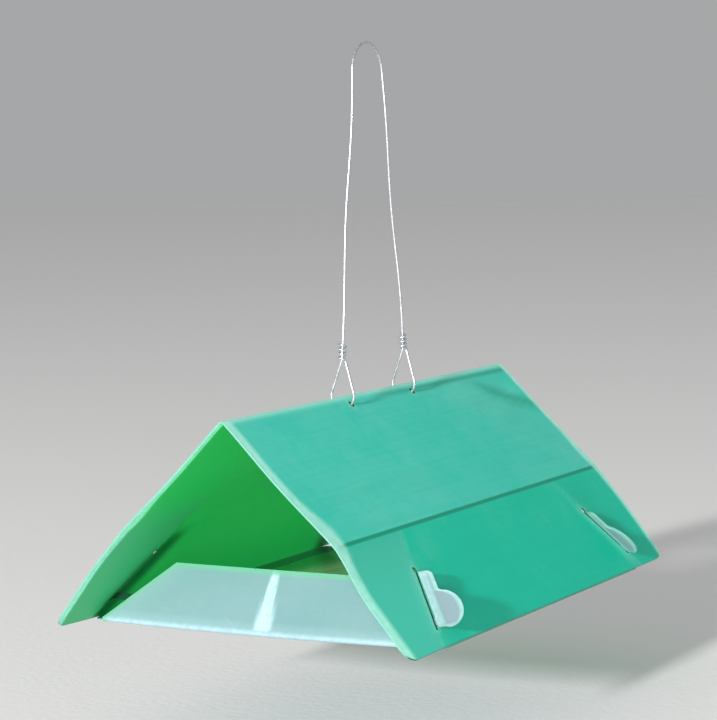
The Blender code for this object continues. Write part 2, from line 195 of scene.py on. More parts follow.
class TrapColours(bpy.types.PropertyGroup):
    """Colours of the finishes, as scene-linear values."""
    roof: colour_setting("Roof", "Outside of the roof's lower panels", (0.000, 0.550, 0.365))
    # The upper panels are painted paler than the lower ones: a painted sheen of the sky on them.
    roof_upper_sheen: colour_setting("Upper roof", "Outside of the upper panels", (0.062, 0.625, 0.490))
    # The inside is painted a deeper, yellower green than the outside of the same sheet: painted
    # light that comes through the roof and bounces between the walls.
    roof_inside: colour_setting("Roof inside", "Inside of the roof sheet", (0.010, 0.280, 0.056))
    roof_glow: colour_setting("Glow", "Light that comes through the roof", (0.008, 0.220, 0.042))
    # Walls ahead of a slit, turned towards the lamp, are painted lighter: painted light.
    flap_outside_lit: colour_setting("Flap", "Outside in front of a slit", (0.055, 0.520, 0.385))
    # The inside ahead of a slit, turned away from the light, is painted duller: painted shade.
    flap_inside_shaded: colour_setting("Flap inside", "Inside in front of a slit", (0.040, 0.330, 0.145))
    # Creases and streaks are painted dark: painted shade in the grooves and under the dents.
    roof_crease_shade: colour_setting("Crease", "Bottom of a pressed crease", (0.000, 0.310, 0.190))
    # Pale band along the ends and the ridge: whitening of the sheet, with a painted highlight where
    # light comes through the cut ends, widest at the front.
    roof_whitening_and_highlight: colour_setting("Roof edge", "Sheet whitened by the blade", (0.400, 0.900, 0.740))
    cut_edge: colour_setting("Cut edge", "Cut edges of the sheets", (0.130, 0.350, 0.280))
    whitening: colour_setting("Whitening", "Sheet whitened by bending", (0.250, 0.700, 0.580))
    tray: colour_setting("Tray", "Floor tray and ears", (0.157, 0.276, 0.293))
    # This colour also fills the pale rims of the ears: whitening, with a painted highlight on the
    # rims.
    tray_whitening_and_highlight: colour_setting("Bent tray", "Tray sheet whitened by bending", (0.400, 0.560, 0.640))
    tray_rim: colour_setting("Tray rim", "Rim of the lips", (0.115, 0.360, 0.230))
    ear_middle: colour_setting("Ear middle", "Worn middle of an ear", (0.215, 0.290, 0.325))
    # Painted dark green: painted shade and green light under the roof on a clear glue.
    glue: colour_setting("Glue", "Glue coat", (0.300, 0.470, 0.270))
    lure: colour_setting("Lure", "Rubber of the lure", (0.330, 0.070, 0.040))
    wire: colour_setting("Wire", "Zinc on the wire", (0.560, 0.560, 0.600))
    dust: colour_setting("Dust", "Fine dust", (0.560, 0.540, 0.480))
    lip_side: colour_setting("Lip side", "Greenish sides of the lips", (0.190, 0.370, 0.320))
    neck_shade: colour_setting("Neck shade", "Necks inside the slits", (0.001, 0.035, 0.012))
    edge_shade: colour_setting("Edge shade", "Cut edges in shade", (0.000, 0.100, 0.040))
    # Painted shade on the inside between a slit and the lip, and a dimmer glow there.
    nook_shade: colour_setting("Nook", "Roof inside beside a slit", (0.002, 0.110, 0.030))
    nook_glow: colour_setting("Nook glow", "Glow beside a slit", (0.000, 0.030, 0.006))
    # Dimmer glow ahead of a slit: painted shade on the inside's glow.
    flap_glow: colour_setting("Flap glow", "Glow ahead of a slit", (0.008, 0.060, 0.026))
    glue_bubble: colour_setting("Glue bubble", "Specks in the glue", (0.100, 0.080, 0.050))
    lure_bloom: colour_setting("Lure bloom", "Powder on the lure", (0.620, 0.420, 0.360))
    wire_bloom: colour_setting("Wire bloom", "Pale bloom on the zinc", (0.720, 0.720, 0.780))
    wire_stain: colour_setting("Wire stain", "Draw marks on the wire", (0.300, 0.290, 0.310))
    wire_end: colour_setting("Wire end", "Snipped ends of the wire", (0.800, 0.800, 0.820))
    floor: colour_setting("Studio floor", "Plain floor under the trap", (0.980, 0.975, 0.965))


# ---- rises, falls and grid lines
def rise(value, start, end):
    """0 before start, 1 after end, and a straight rise between them."""
    return np.clip((value - start) / (end - start), 0.0, 1.0)


def smooth(value, start, end):
    """0 before start, 1 after end, and an S-shaped rise 3t^2 - 2t^3 between them."""
    share = rise(value, start, end)
    return share * share * (3.0 - 2.0 * share)


def hump(value, width):
    """A bell curve exp(-(value / width)^2)."""
    return np.exp(-np.square(value / width))


def grid_lines(low, high, step, marks):
    """Lines about a step apart from low to high, with every mark among them."""
    even = np.linspace(low, high, int(round((high - low) / step)) + 1)
    marks = np.unique(np.round([mark for mark in marks if low <= mark <= high], 7))
    clear = np.abs(even[:, None] - marks[None, :]).min(axis=1) > 0.45 * step
    clear[[0, -1]] = True
    return np.unique(np.round(np.concatenate([even[clear], marks]), 7))


def both_ways(lines):
    """Lines from 0 outwards, repeated on the negative side."""
    return np.concatenate([-lines[:0:-1], lines])


def around(middle, offsets):
    """A middle value plus every offset and minus every offset."""
    offsets = np.asarray(offsets)
    return list(middle + offsets) + list(middle - offsets)


# ---- meshes from arrays
def finished_mesh(name, places, faces, materials, indices, smooth_angle, values, flat):
    """An object whose mesh holds these places and faces, with its values and its flat map."""
    used = np.unique(faces)
    number = np.zeros(len(places), dtype=np.int64)
    number[used] = np.arange(len(used))
    mesh = bpy.data.meshes.new(name)
    mesh.from_pydata(places[used].tolist(), [], number[faces].tolist())
    for material in materials:
        mesh.materials.append(material)
    mesh.polygons.foreach_set("material_index", np.asarray(indices, dtype=np.int32))
    for label, amounts in values.items():
        layer = mesh.attributes.new(label, "FLOAT", "POINT")
        layer.data.foreach_set("value", amounts[used].astype(np.float32))
    corners = np.zeros(len(mesh.loops), dtype=np.int32)
    mesh.loops.foreach_get("vertex_index", corners)
    layer = mesh.uv_layers.new(name="flat_sheet")
    layer.data.foreach_set("uv", flat[used][corners].astype(np.float32).ravel())
    mesh.shade_smooth()
    mesh.set_sharp_from_angle(angle=smooth_angle)
    mesh.update()
    made = bpy.data.objects.new(name, mesh)
    bpy.context.scene.collection.objects.link(made)
    return made


def sheet_solid(name, outer, inner, kept, materials, values, flat):
    """A closed sheet from two grids of points and a mask of the cells that are kept.

    Kept cells make the outer face, the same cells turned round make the inner face, and each
    cell edge that no kept neighbour shares gets a rim face from the outer to the inner grid.
    """
    rows, columns = outer.shape[:2]
    number = np.arange(rows * columns).reshape(rows, columns)
    cells = np.stack([number[:-1, :-1], number[:-1, 1:], number[1:, 1:], number[1:, :-1]],
                     axis=-1)[kept]
    out, back = outer.reshape(-1, 3), inner.reshape(-1, 3)
    normal = np.cross(out[cells[:, 2]] - out[cells[:, 0]], out[cells[:, 3]] - out[cells[:, 1]])
    through = out[cells[:, 0]] - back[cells[:, 0]]
    if np.sum(normal * through) < 0.0:
        cells = cells[:, ::-1]
    starts, ends = cells.ravel(), np.roll(cells, -1, axis=1).ravel()
    total = rows * columns
    open_edge = ~np.isin(starts * total + ends, ends * total + starts)
    starts, ends = starts[open_edge], ends[open_edge]
    rim = np.stack([ends, starts, starts + total, ends + total], axis=-1)
    faces = np.concatenate([cells, cells[:, ::-1] + total, rim])
    indices = np.repeat([0, 1, 2], [len(cells), len(cells), len(rim)])
    both = {label: np.tile(amounts.ravel(), 2) for label, amounts in values.items()}
    return finished_mesh(name, np.concatenate([out, back]), faces, materials, indices,
                         SHARP_SHEET, both, np.tile(flat.reshape(-1, 2), (2, 1)))


def closed_skin(name, rings, materials, values, smooth_angle=math.radians(50)):
    """A skin through rings of points, closed at both ends by a fan about the end's middle.

    rings has the shape (rings, points around, 3) and follows the skin from one end to the other.
    """
    count, around_count = rings.shape[:2]
    number = np.arange(count * around_count).reshape(count, around_count)
    ahead = np.roll(number, -1, axis=1)
    quads = np.stack([number[:-1], ahead[:-1], ahead[1:], number[1:]], axis=-1).reshape(-1, 4)
    poles = np.array([rings[0].mean(axis=0), rings[-1].mean(axis=0)])
    first, last = count * around_count, count * around_count + 1
    first_fan = np.stack([ahead[0], number[0], np.full(around_count, first)], axis=-1)
    last_fan = np.stack([number[-1], ahead[-1], np.full(around_count, last)], axis=-1)
    places = np.concatenate([rings.reshape(-1, 3), poles])
    quad_list, fan = quads.tolist(), np.concatenate([first_fan, last_fan]).tolist()
    mesh = bpy.data.meshes.new(name)
    mesh.from_pydata(places.tolist(), [], quad_list + fan)
    for material in materials:
        mesh.materials.append(material)
    for label, amounts in values.items():
        layer = mesh.attributes.new(label, "FLOAT", "POINT")
        amounts = np.repeat(amounts, around_count)
        layer.data.foreach_set("value", np.append(amounts, amounts[[0, -1]]).astype(np.float32))
    mesh.shade_smooth()
    mesh.set_sharp_from_angle(angle=smooth_angle)
    mesh.update()
    made = bpy.data.objects.new(name, mesh)
    bpy.context.scene.collection.objects.link(made)
    return made


def carried_profile(route, radius, around_count):
    """Rings of a round profile carried along a route.

    Each ring is route + radius * (cos a * side + sin a * rise), where side and rise stand square
    to the route; their turn from point to point is added up and taken back, so nothing twists.
    """
    tangent = np.gradient(route, axis=0)
    tangent /= np.linalg.norm(tangent, axis=1, keepdims=True)
    least = np.eye(3)[np.abs(tangent).argmin(axis=1)]
    side = np.cross(tangent, least)
    side /= np.linalg.norm(side, axis=1, keepdims=True)
    lift = np.cross(tangent, side)
    turn = np.arctan2(np.sum(side[:-1] * lift[1:], axis=1), np.sum(side[:-1] * side[1:], axis=1))
    total = np.concatenate([[0.0], np.cumsum(turn)])
    angles = total[:, None] + np.linspace(0.0, 2.0 * math.pi, around_count, endpoint=False)[None]
    radius = np.broadcast_to(radius, (len(route),))[:, None, None]
    spokes = (np.cos(angles)[..., None] * side[:, None] + np.sin(angles)[..., None]
              * lift[:, None])
    return route[:, None, :] + radius * spokes


# ---- the roof's section, from the frame
def roof_layout(sheets):
    """Slopes and lengths of the roof's section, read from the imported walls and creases."""
    low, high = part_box("roof_right_lower")
    crease_low, crease_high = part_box("right_wall_crease")
    crease = (crease_low + crease_high) / 2
    ridge = Vector(JOINTS["hanger_swing"]["pos_m"])
    half = sheets.roof_sheet / 2
    lower_slope = math.atan2(crease.z - low.z, high.x - crease.x)
    eave = Vector((high.x - half * math.sin(lower_slope), 0.0,
                   low.z + half * math.cos(lower_slope)))
    lower_slope = math.atan2(crease.z - eave.z, eave.x - crease.x)
    upper_slope = math.atan2(ridge.z - crease.z, crease.x)
    arc_run = sheets.ridge_radius * upper_slope
    saved = sheets.ridge_radius * math.tan(upper_slope) - arc_run
    crease_run = math.hypot(crease.x, ridge.z - crease.z) - saved
    eave_run = crease_run + math.hypot(eave.x - crease.x, crease.z - eave.z)
    top = ridge.z - sheets.ridge_radius * (1 / math.cos(upper_slope) - 1)
    return SimpleNamespace(
        half_length=high.y, eave=eave, top=top, arc_run=arc_run, saved=saved,
        upper_slope=upper_slope, lower_slope=lower_slope,
        crease_run=crease_run, eave_run=eave_run)


def roof_section(run, layout, sheets):
    """Middle of the roof sheet at a run across it, ridge at 0 and right side positive.

    The slope grows evenly along the ridge fold and again along the crease; x adds up its cosine
    and z takes away its sine.
    """
    steps = np.linspace(0.0, layout.eave_run, 6001)
    half_score = sheets.score_width / 2
    bend = rise(steps, layout.crease_run - half_score, layout.crease_run + half_score)
    slope = (layout.upper_slope * rise(steps, 0.0, layout.arc_run)
             + (layout.lower_slope - layout.upper_slope) * bend)
    pace = steps[1] - steps[0]
    x = np.concatenate([[0.0], np.cumsum(np.cos(slope[:-1]) * pace)])
    z = layout.top - np.concatenate([[0.0], np.cumsum(np.sin(slope[:-1]) * pace)])
    distance, side = np.abs(run), np.sign(run)
    here = np.interp(distance, steps, slope)
    middle = np.stack([side * np.interp(distance, steps, x), np.zeros_like(run),
                       np.interp(distance, steps, z)], axis=-1)
    normal = np.stack([side * np.sin(here), np.zeros_like(run), np.cos(here)], axis=-1)
    return middle, normal


# ---- the lips, from the frame
def lip_layout(sheets, end):
    """A lip's fold, lean and widths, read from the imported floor, fold and ear joints."""
    label = "front" if end == FRONT else "rear"
    floor_low, floor_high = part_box("floor_right")
    fold_low, fold_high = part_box(f"{label}_lip_fold")
    axis = Vector(JOINTS[f"{label}_right_ear_bend"]["axis"])
    lean = math.atan2(abs(axis.y), abs(axis.z))
    turn = math.pi / 2 + lean
    floor_mid = (floor_low.z + floor_high.z) / 2
    foot_y = floor_high.y + sheets.lip_radius * math.sin(turn)
    foot_z = floor_mid + sheets.lip_radius * (1 - math.cos(turn))
    return SimpleNamespace(
        end=end, lean=lean, turn=turn, floor_half_length=floor_high.y,
        floor_half_width=floor_high.x, floor_mid=floor_mid, fold_half=fold_high.x,
        foot=Vector((0.0, end * foot_y, foot_z)), roof=roof_layout(sheets),
        up=Vector((0.0, -end * math.sin(lean), math.cos(lean))))


def wall_middle(lip, along):
    """X of the wall's middle at a height along the lip."""
    height = lip.foot.z + along * math.cos(lip.lean)
    roof = lip.roof
    return roof.eave.x - (height - roof.eave.z) / math.tan(roof.lower_slope)


def ear_axes(lip, side):
    """Bend line root, and the unit directions outwards and up along the bend line."""
    label = "front" if lip.end == FRONT else "rear"
    word = "left" if side == LEFT else "right"
    joint = JOINTS[f"{label}_{word}_ear_bend"]
    chord = Vector(joint["axis"])
    chord = chord if chord.z > 0.0 else -chord
    across = Vector((side, 0.0, 0.0))
    reach = chord.dot(lip.up) * across - chord.dot(across) * lip.up
    return Vector(joint["pos_m"]), reach.normalized(), chord


def slit_line(lip, ears, sheets):
    """Ends of a wall's slit as (distance along the ridge, run across the sheet), in the first
    quarter: the middle of its low round end and the middle of its stop hole."""
    root, reach, chord = ear_axes(lip, RIGHT)
    roof = lip.roof
    ends = []
    for place in (-sheets.slit_overrun, ears.chord + sheets.slit_overrun):
        point = root + place * chord
        height = (point - lip.foot).dot(lip.up)
        inset = wall_middle(lip, height)
        run = roof.eave_run - (roof.eave.x - inset) / math.cos(roof.lower_slope)
        ends.append((abs(point.y), run))
    return ends


# ---- punched holes and slits in a flat sheet
def punch(across, along, radius, reach):
    """Opens the square |across|, |along| < radius to a circle.

    A point's larger coordinate becomes its distance from the middle, so squares become circles;
    the change fades out smoothly from the radius to the reach.
    """
    square = np.maximum(np.abs(across), np.abs(along))
    distance = np.maximum(np.hypot(across, along), 1e-9)
    kept = smooth(square, radius, reach)
    scale = kept + (1.0 - kept) * square / distance
    return across * scale, along * scale


def round_end(across, beyond, half, reach):
    """Rounds the flat end of a slot of the given half width.

    The end's points move to half * (sin, cos) of an angle that grows evenly across the slot; the
    move fades out within the reach, sideways and ahead.
    """
    held = np.clip(across, -half, half)
    angle = held / half * math.pi / 2
    fade = (1.0 - smooth(beyond, 0.0, reach)) * (1.0 - smooth(np.abs(across), half, half + reach))
    return (across + fade * (half * np.sin(angle) - held),
            beyond + fade * half * np.cos(angle))


def roof_grid(sheets, ears):
    """Flat places (along, run) of the roof sheet's grid points, and the mask of kept cells."""
    roof = roof_layout(sheets)
    lip = lip_layout(sheets, FRONT)
    (low_along, low_run), (high_along, high_run) = slit_line(lip, ears, sheets)
    middle = (low_along + high_along) / 2
    lean = math.atan2(low_along - high_along, low_run - high_run)
    half = sheets.slit_width / 2 / math.cos(lean)
    stop, hole = sheets.stop_hole, sheets.hanger_hole
    eye_along = sheets.hole_spacing / 2
    eye_run = sheets.hole_drop - roof.saved
    rounding = sheets.corner_radius * (1 - np.cos(np.linspace(0.0, math.pi / 2, 7)))
    score = sheets.score_width
    columns = grid_lines(0.0, roof.half_length, ROOF_STEPS[0], (
        around(middle, [0.0, half / 2, half, stop, 1.6 * stop, 2.4 * stop])
        + around(eye_along, [0.0, 0.34 * hole, 0.67 * hole, hole, 1.5 * hole, 2.2 * hole])
        + list(roof.half_length - np.array([0.0006, 0.0018, 0.0035, 0.0052, 0.0070, 0.0095]))))
    rows = grid_lines(0.0, roof.eave_run, ROOF_STEPS[1], (
        list(np.linspace(0.0, roof.arc_run, 6)) + [1.5 * roof.arc_run]
        + around(eye_run, [0.0, 0.34 * hole, 0.67 * hole, hole, 1.4 * hole])
        + around(roof.crease_run, [0.0, 0.15 * score, 0.3 * score, 0.5 * score, 0.9 * score])
        + around(high_run, [0.0, half / 2, half, stop, 1.6 * stop, 2.4 * stop])
        + list(low_run + np.array([0.0, 0.6, 1.3, 2.2]) * half)
        + list(roof.eave_run - rounding)))
    columns, rows = both_ways(columns), both_ways(rows)
    along, run = np.meshgrid(columns, rows)
    a, r = np.abs(along), np.abs(run)

    # hanger hole, stop hole and the slit's round low end
    p, q = punch(a - eye_along, r - eye_run, hole, 2.2 * hole)
    a, r = eye_along + p, eye_run + q
    p, q = punch(a - middle, r - high_run, stop, 2.4 * stop)
    ahead = q + high_run - low_run
    p, ahead = round_end(p, np.maximum(ahead, 0.0), half, 0.004)
    r = np.where(q + high_run > low_run, low_run + ahead, q + high_run)
    # lean of the slit, fading out to both sides and towards the crease
    drift = (low_along - high_along) * (rise(r, high_run + stop, low_run) - 0.5)
    drift = drift * smooth(r, roof.crease_run, high_run - stop)
    a = middle + p + drift * (1.0 - smooth(np.abs(p), 0.003, 0.024))
    # rounded lower corners
    edge = np.clip(roof.eave_run - r, 0.0, sheets.corner_radius)
    cut = sheets.corner_radius - np.sqrt(np.square(sheets.corner_radius)
                                         - np.square(sheets.corner_radius - edge))
    a = a - cut * rise(a, roof.half_length - 0.012, roof.half_length)

    mid_a = np.abs(columns[:-1] + columns[1:])[None, :] / 2
    mid_r = np.abs(rows[:-1] + rows[1:])[:, None] / 2
    in_slot = (np.abs(mid_a - middle) < half) & (mid_r > high_run) & (mid_r < low_run)
    in_stop = np.maximum(np.abs(mid_a - middle), np.abs(mid_r - high_run)) < stop
    in_hole = np.maximum(np.abs(mid_a - eye_along), np.abs(mid_r - eye_run)) < hole
    kept = ~(in_slot | in_stop | in_hole)
    return np.sign(along) * a, np.sign(run) * r, kept


def distance_to_slit(along, run, sheets, ears):
    """Distance in the flat sheet from each point to the nearest slit's centre line."""
    lip = lip_layout(sheets, FRONT)
    low, high = (np.array(point) for point in slit_line(lip, ears, sheets))
    points = np.stack([np.abs(along), np.abs(run)], axis=-1)
    way = high - low
    share = np.clip(((points - low) @ way) / (way @ way), 0.0, 1.0)
    return np.linalg.norm(points - low - share[..., None] * way, axis=-1)


def ahead_of_slit(along, run, sheets, ears):
    """Distance in the flat sheet past the straight line that a slit lies on, towards the end."""
    lip = lip_layout(sheets, FRONT)
    low, high = (np.array(point) for point in slit_line(lip, ears, sheets))
    way = (low - high) / np.linalg.norm(low - high)
    square = np.array([way[1], -way[0]])
    points = np.stack([np.abs(along), np.abs(run)], axis=-1)
    return (points - high) @ square


# ---- roof
def roof_wander(along, run, roof, sheets, ears):
    """How far the roof sheet stands out from its flat panels.

    Long shallow sine waves leave the folds and bottom edges alone; each wall turns in or out
    ahead of its slit; soft dents, bell curves across their run, cross the rear top corner.
    """
    crease, eave = roof.crease_run, roof.eave_run
    distance = np.abs(run)
    upper = np.sin(math.pi * rise(distance, 0.0, crease)) ** 2
    lower = np.sin(math.pi * rise(distance, crease, eave)) ** 2
    side = np.where(run > 0.0, 1.0, -1.0)
    share = along / roof.half_length
    wave = upper * (-0.00055 + 0.00035 * np.sin(2.1 * share + 0.7 * side))
    wave = wave + lower * 0.00025 * np.sin(2.6 * share - 0.9 * side)
    past = ahead_of_slit(along, run, sheets, ears)
    turn = np.where(run > 0.0, FRONT_RIGHT_TURN, FRONT_LEFT_TURN)
    turn = np.where(along < 0.0, turn, REAR_TURN) * math.tan(sheets.flap_turn)
    below = smooth(distance, crease, crease + 0.030)
    wave = wave - turn * below * np.logaddexp(0.0, past / FLAP_ROUNDING) * FLAP_ROUNDING
    dents = sum(depth * hump(run - place - slant * (roof.half_length - along), width)
                * smooth(along, start, full)
                for place, slant, width, start, full, depth in DENTS)
    return wave - (1.0 - smooth(along, *DENT_FADE)) * dents


def build_roof(sheets, ears, materials):
    """One folded sheet: both walls, the ridge and both creases, with slits and punched holes.

    Each grid point goes to the section's middle at its run, plus the wander along the section's
    normal; half the sheet's thickness to each side, less the creases' grooves, gives both faces.
    """
    roof = roof_layout(sheets)
    along, run, kept = roof_grid(sheets, ears)
    middle, normal = roof_section(run, roof, sheets)
    middle[..., 1] = along
    middle = middle + normal * roof_wander(along, run, roof, sheets, ears)[..., None]
    from_crease = np.abs(np.abs(run) - roof.crease_run)
    score = 0.5 + 0.5 * np.cos(math.pi * np.clip(from_crease / (sheets.score_width / 2), 0, 1))
    # The band along each crease is painted dark, as painted shade in the groove
    lined = 1.0 - smooth(from_crease, 0.30 * sheets.score_width, 0.46 * sheets.score_width)
    ridge_score = 1.0 - smooth(np.abs(run), 0.0, roof.arc_run)
    half = sheets.roof_sheet / 2
    outer = middle + normal * (half - sheets.score_depth * score)[..., None]
    inner = middle - normal * (half - sheets.score_depth * ridge_score)[..., None]
    to_slit = distance_to_slit(along, run, sheets, ears)
    eye_along, eye_run = sheets.hole_spacing / 2, sheets.hole_drop - roof.saved
    to_hole = np.hypot(np.abs(along) - eye_along, np.abs(run) - eye_run)
    past = ahead_of_slit(along, run, sheets, ears)
    below = smooth(np.abs(run), roof.crease_run - 0.001, roof.crease_run + 0.004)
    # Outside, this mask is whitening round the slits and holes; inside, the same mask is painted
    # shade along the slits
    strain_and_shade = np.maximum(0.55 * hump(past, 0.0011) * below * (to_slit > 0.001),
                        0.9 * (1 - smooth(to_slit, 0.0012, 0.0042)))
    strain_and_shade = np.maximum(strain_and_shade, 1 - smooth(to_hole, 0.0018, 0.0036))
    strain_and_shade = np.maximum(strain_and_shade, 0.30 * hump(past - 0.004, 0.0032) * hump(to_slit, 0.0070))
    pulled = np.where((along > 0.0) & (run > 0.0), 0.9, 0.25)
    strain_and_shade = np.maximum(strain_and_shade, pulled * hump(past + 0.0030, 0.0032) * hump(to_slit, 0.0065))
    # The band along each end is whitening with a painted highlight of light through the cut edge,
    # wider at the front and near the creases
    to_end = roof.half_length - np.abs(along)
    flare = 0.0070 + 0.0055 * hump(np.abs(run) - roof.crease_run + 0.008, 0.012)
    pale = flare * np.where(along < 0.0, 1.0, 0.6)
    # Painted shade: streaks under the ridge and on the dents' shaded sides
    shade_streaks = np.max([share * hump(run - place - slant * (along - middle_along), width)
                      * smooth(along, start, full)
                      for share, place, slant, middle_along, width, start, full in SHADE_STREAKS], axis=0)
    # Painted shadow of the rear ear on the wall behind its slit
    rear_flap = smooth(past, 0.0, 0.0030) * below * (along > 0.0)
    shade_streaks = np.maximum(shade_streaks, 0.35 * rear_flap * hump(to_slit, 0.018))
    values = {
        "crease": lined,
        "ridge": hump(run, 0.0022),
        "strain_and_shade": strain_and_shade,
        "edge": 1.0 - smooth(to_end, 0.50 * pale, pale),
        # 'bright' keeps the cut edges at the trap's ends pale; all other cut edges take painted
        # shade
        "bright": 1.0 - smooth(to_end, 0.0010, 0.0020),
        # 'upper' marks the upper panels, which take a painted sheen
        "upper": 1.0 - smooth(np.abs(run), roof.crease_run - 0.001, roof.crease_run + 0.001),
        "shade_streak": shade_streaks,
        # 'flap' marks where the outside ahead of a front slit is painted lighter, as painted light
        "flap": smooth(past, -0.0005, 0.0012) * below * (along < 0.0),
        # 'dull' marks the inside ahead of a slit, which takes painted shade and a dimmer glow
        "dull": smooth(past, -0.0005, 0.0040) * smooth(
            np.abs(run), roof.crease_run - 0.026, roof.crease_run + 0.012),
        # This mark is painted shade on the inside between a slit and the lip
        "nook_shade": smooth(past, -0.0170, -0.0050) * (1.0 - smooth(past, 0.0, 0.0010)) * below
        * smooth(np.abs(run), roof.crease_run + 0.004, roof.crease_run + 0.016),
    }
    flat = np.stack([along, run], axis=-1)
    return sheet_solid("roof_sheet", outer, inner, kept, materials, values, flat)


# ---- floor tray
def tray_sag(x, y, sheets, lip):
    """The floor hangs between the walls and stiffens near the lips."""
    across = np.cos(math.pi / 2 * np.clip(x / lip.floor_half_width, -1.0, 1.0))
    lift = sheets.tray_lift * smooth(np.abs(x), lip.floor_half_width - 0.007,
                                     lip.floor_half_width - 0.0018)
    return lift - sheets.tray_sag * across * (0.72 + 0.28 * np.cos(math.pi * y / 0.22))


def tray_path(place, lip, sheets):
    """Middle of the tray sheet along its length: flat floor, round fold, straight lip.

    Past the floor's end the heading turns evenly through the fold angle along the fold, and y and
    z add up its cosine and sine. Returns (y, z) and the outward normal's (y, z) in one half.
    """
    floor_end = lip.floor_half_length
    fold_run = sheets.lip_radius * lip.turn
    beyond = np.maximum(np.abs(place) - floor_end, 0.0)
    angle = lip.turn * np.clip(beyond / fold_run, 0.0, 1.0)
    rest = np.maximum(beyond - fold_run, 0.0)
    y = (np.minimum(np.abs(place), floor_end) + sheets.lip_radius * np.sin(angle)
         + rest * math.cos(lip.turn))
    z = lip.floor_mid + sheets.lip_radius * (1.0 - np.cos(angle)) + rest * math.sin(lip.turn)
    side = np.sign(place)
    return side * y, z, side * np.sin(angle), -np.cos(angle)


def build_tray(sheets, ears, materials):
    """One sheet folded into the floor and both lips, with the necks that reach the slits.

    Columns spread from the middle to the sheet's edge at each place; rows follow the tray's path.
    """
    lip = lip_layout(sheets, FRONT)
    roof = lip.roof
    fold_run = sheets.lip_radius * lip.turn
    foot = lip.floor_half_length + fold_run
    total = foot + sheets.lip_height
    low, high = foot + ears.neck_low, foot + ears.neck_high
    rows = both_ways(grid_lines(0.0, total, TRAY_STEP, (
        list(lip.floor_half_length + fold_run * np.linspace(0.0, 1.0, 9))
        + [lip.floor_half_length - 0.0012, foot + 0.0012, low, high]
        + list(total - np.array([0.0008, 0.0016, 0.0024, 0.0032])))))
    width, neck = lip.floor_half_width, 0.010
    score = sheets.score_width
    columns = both_ways(grid_lines(0.0, width + neck, TRAY_STEP, (
        [0.0, 0.2 * score, 0.5 * score, score, 0.0030]
        + list(width - np.array([0.0, 0.0010, 0.0019, 0.0028, 0.0040])) + [width + 0.0003])))
    across, place = np.meshgrid(columns, rows)
    along = np.abs(place) - foot
    y, z, normal_y, normal_z = tray_path(place, lip, sheets)

    fold_half = lip.fold_half - sheets.lip_tuck
    edge = np.interp(along, [-fold_run, 0.0, sheets.lip_height],
                     [fold_half, fold_half, sheets.lip_top])
    to_floor = smooth(along + fold_run, -0.0016, -0.0002)
    edge = width + (edge - width) * to_floor
    inner_face = wall_middle(lip, along) - (sheets.roof_sheet / 2 + SLIT_CLEARANCE) / math.sin(
        roof.lower_slope)
    centre = 0.003
    distance = np.abs(across)
    body = np.where(distance <= centre, distance,
                    centre + (distance - centre) / (width - centre) * (edge - centre))
    beyond = edge + (distance - width) / neck * (inner_face - edge)
    x = np.sign(across) * np.where(distance <= width, body, beyond)
    neck_cell = np.abs(columns[:-1] + columns[1:])[None, :] / 2 > width
    mid_row = np.abs(rows[:-1] + rows[1:])[:, None] / 2
    kept = ~neck_cell | ((mid_row > low) & (mid_row < high))

    sag = tray_sag(x, y, sheets, lip)
    sag = sag * (1.0 - smooth(along, -fold_run, 0.016))
    bow = 0.0007 * np.cos(math.pi / 2 * np.clip(x / sheets.lip_top, -1, 1)) * smooth(along, 0, 0.03)
    middle = np.stack([x, y + np.sign(place) * bow, z + sag], axis=-1)
    normal = np.stack([np.zeros_like(x), normal_y, normal_z], axis=-1)
    groove = 0.5 + 0.5 * np.cos(math.pi * np.clip(np.abs(x) / (score / 2), 0.0, 1.0))
    half = sheets.tray_sheet / 2
    outer = middle + normal * (half - 0.0002 * groove)[..., None]
    inner = middle - normal * half
    fold = 1.0 - smooth(np.abs(along + fold_run / 2), 0.0012, 0.0030)
    on_lip = smooth(along, 0.0, 0.001)
    band = 0.0016 + 0.0016 * (1.0 - rise(along, 0.0, sheets.lip_height))
    to_edge = np.minimum(np.abs(total - np.abs(place)), np.abs(edge - np.abs(x)))
    values = {
        "crease": groove,
        "fold": fold,
        "band": (1.0 - smooth(np.abs(x), band, band + 0.0008)) * (0.35 + 0.65 * on_lip),
        "edge": 1.0 - smooth(to_edge, 0.0012, 0.0032),
        "side": smooth(np.abs(x) / edge, 0.72, 1.0) * on_lip,
        "shade": smooth(distance, width, width + 0.0003),
        "middle": np.zeros_like(x),
        "bright": 1.0 - smooth(distance, width, width + 0.0003),
    }
    flat = np.stack([x, place], axis=-1)
    return sheet_solid("floor_tray", outer, inner, kept, materials, values, flat)


# ---- ears
def ear_limits(chord, ears):
    """Inner and outer reach of an ear at each height up its bend line.

    Above 0 the ear starts at the bend line; below 0 the lobe swings under it. Outside, the lobe is
    an oval, then the shoulder is straight and ends in a quarter circle.
    """
    lobe_reach = ears.reach - ears.lobe_radius
    offset = np.clip((chord - ears.lobe_centre) / ears.lobe_half, -1.0, 1.0)
    lobe = lobe_reach + ears.lobe_radius * np.sqrt(1.0 - np.square(offset))
    crown = ears.shoulder / 2
    rounding = np.clip(chord - (ears.chord - crown), 0.0, crown)
    shoulder = ears.shoulder - crown + np.sqrt(np.square(crown) - np.square(rounding))
    step = (ears.shoulder - lobe_reach) / ears.lobe_radius
    meet = ears.lobe_centre + ears.lobe_half * math.sqrt(1.0 - step * step)
    outer = np.where(chord < meet, lobe, shoulder)
    under = ears.lobe_half - ears.lobe_centre
    below = np.clip(-chord, 0.0, under)
    inner = (lobe_reach - 0.0004) * np.sqrt(below / under)
    return inner, np.maximum(outer, inner + 0.0003)


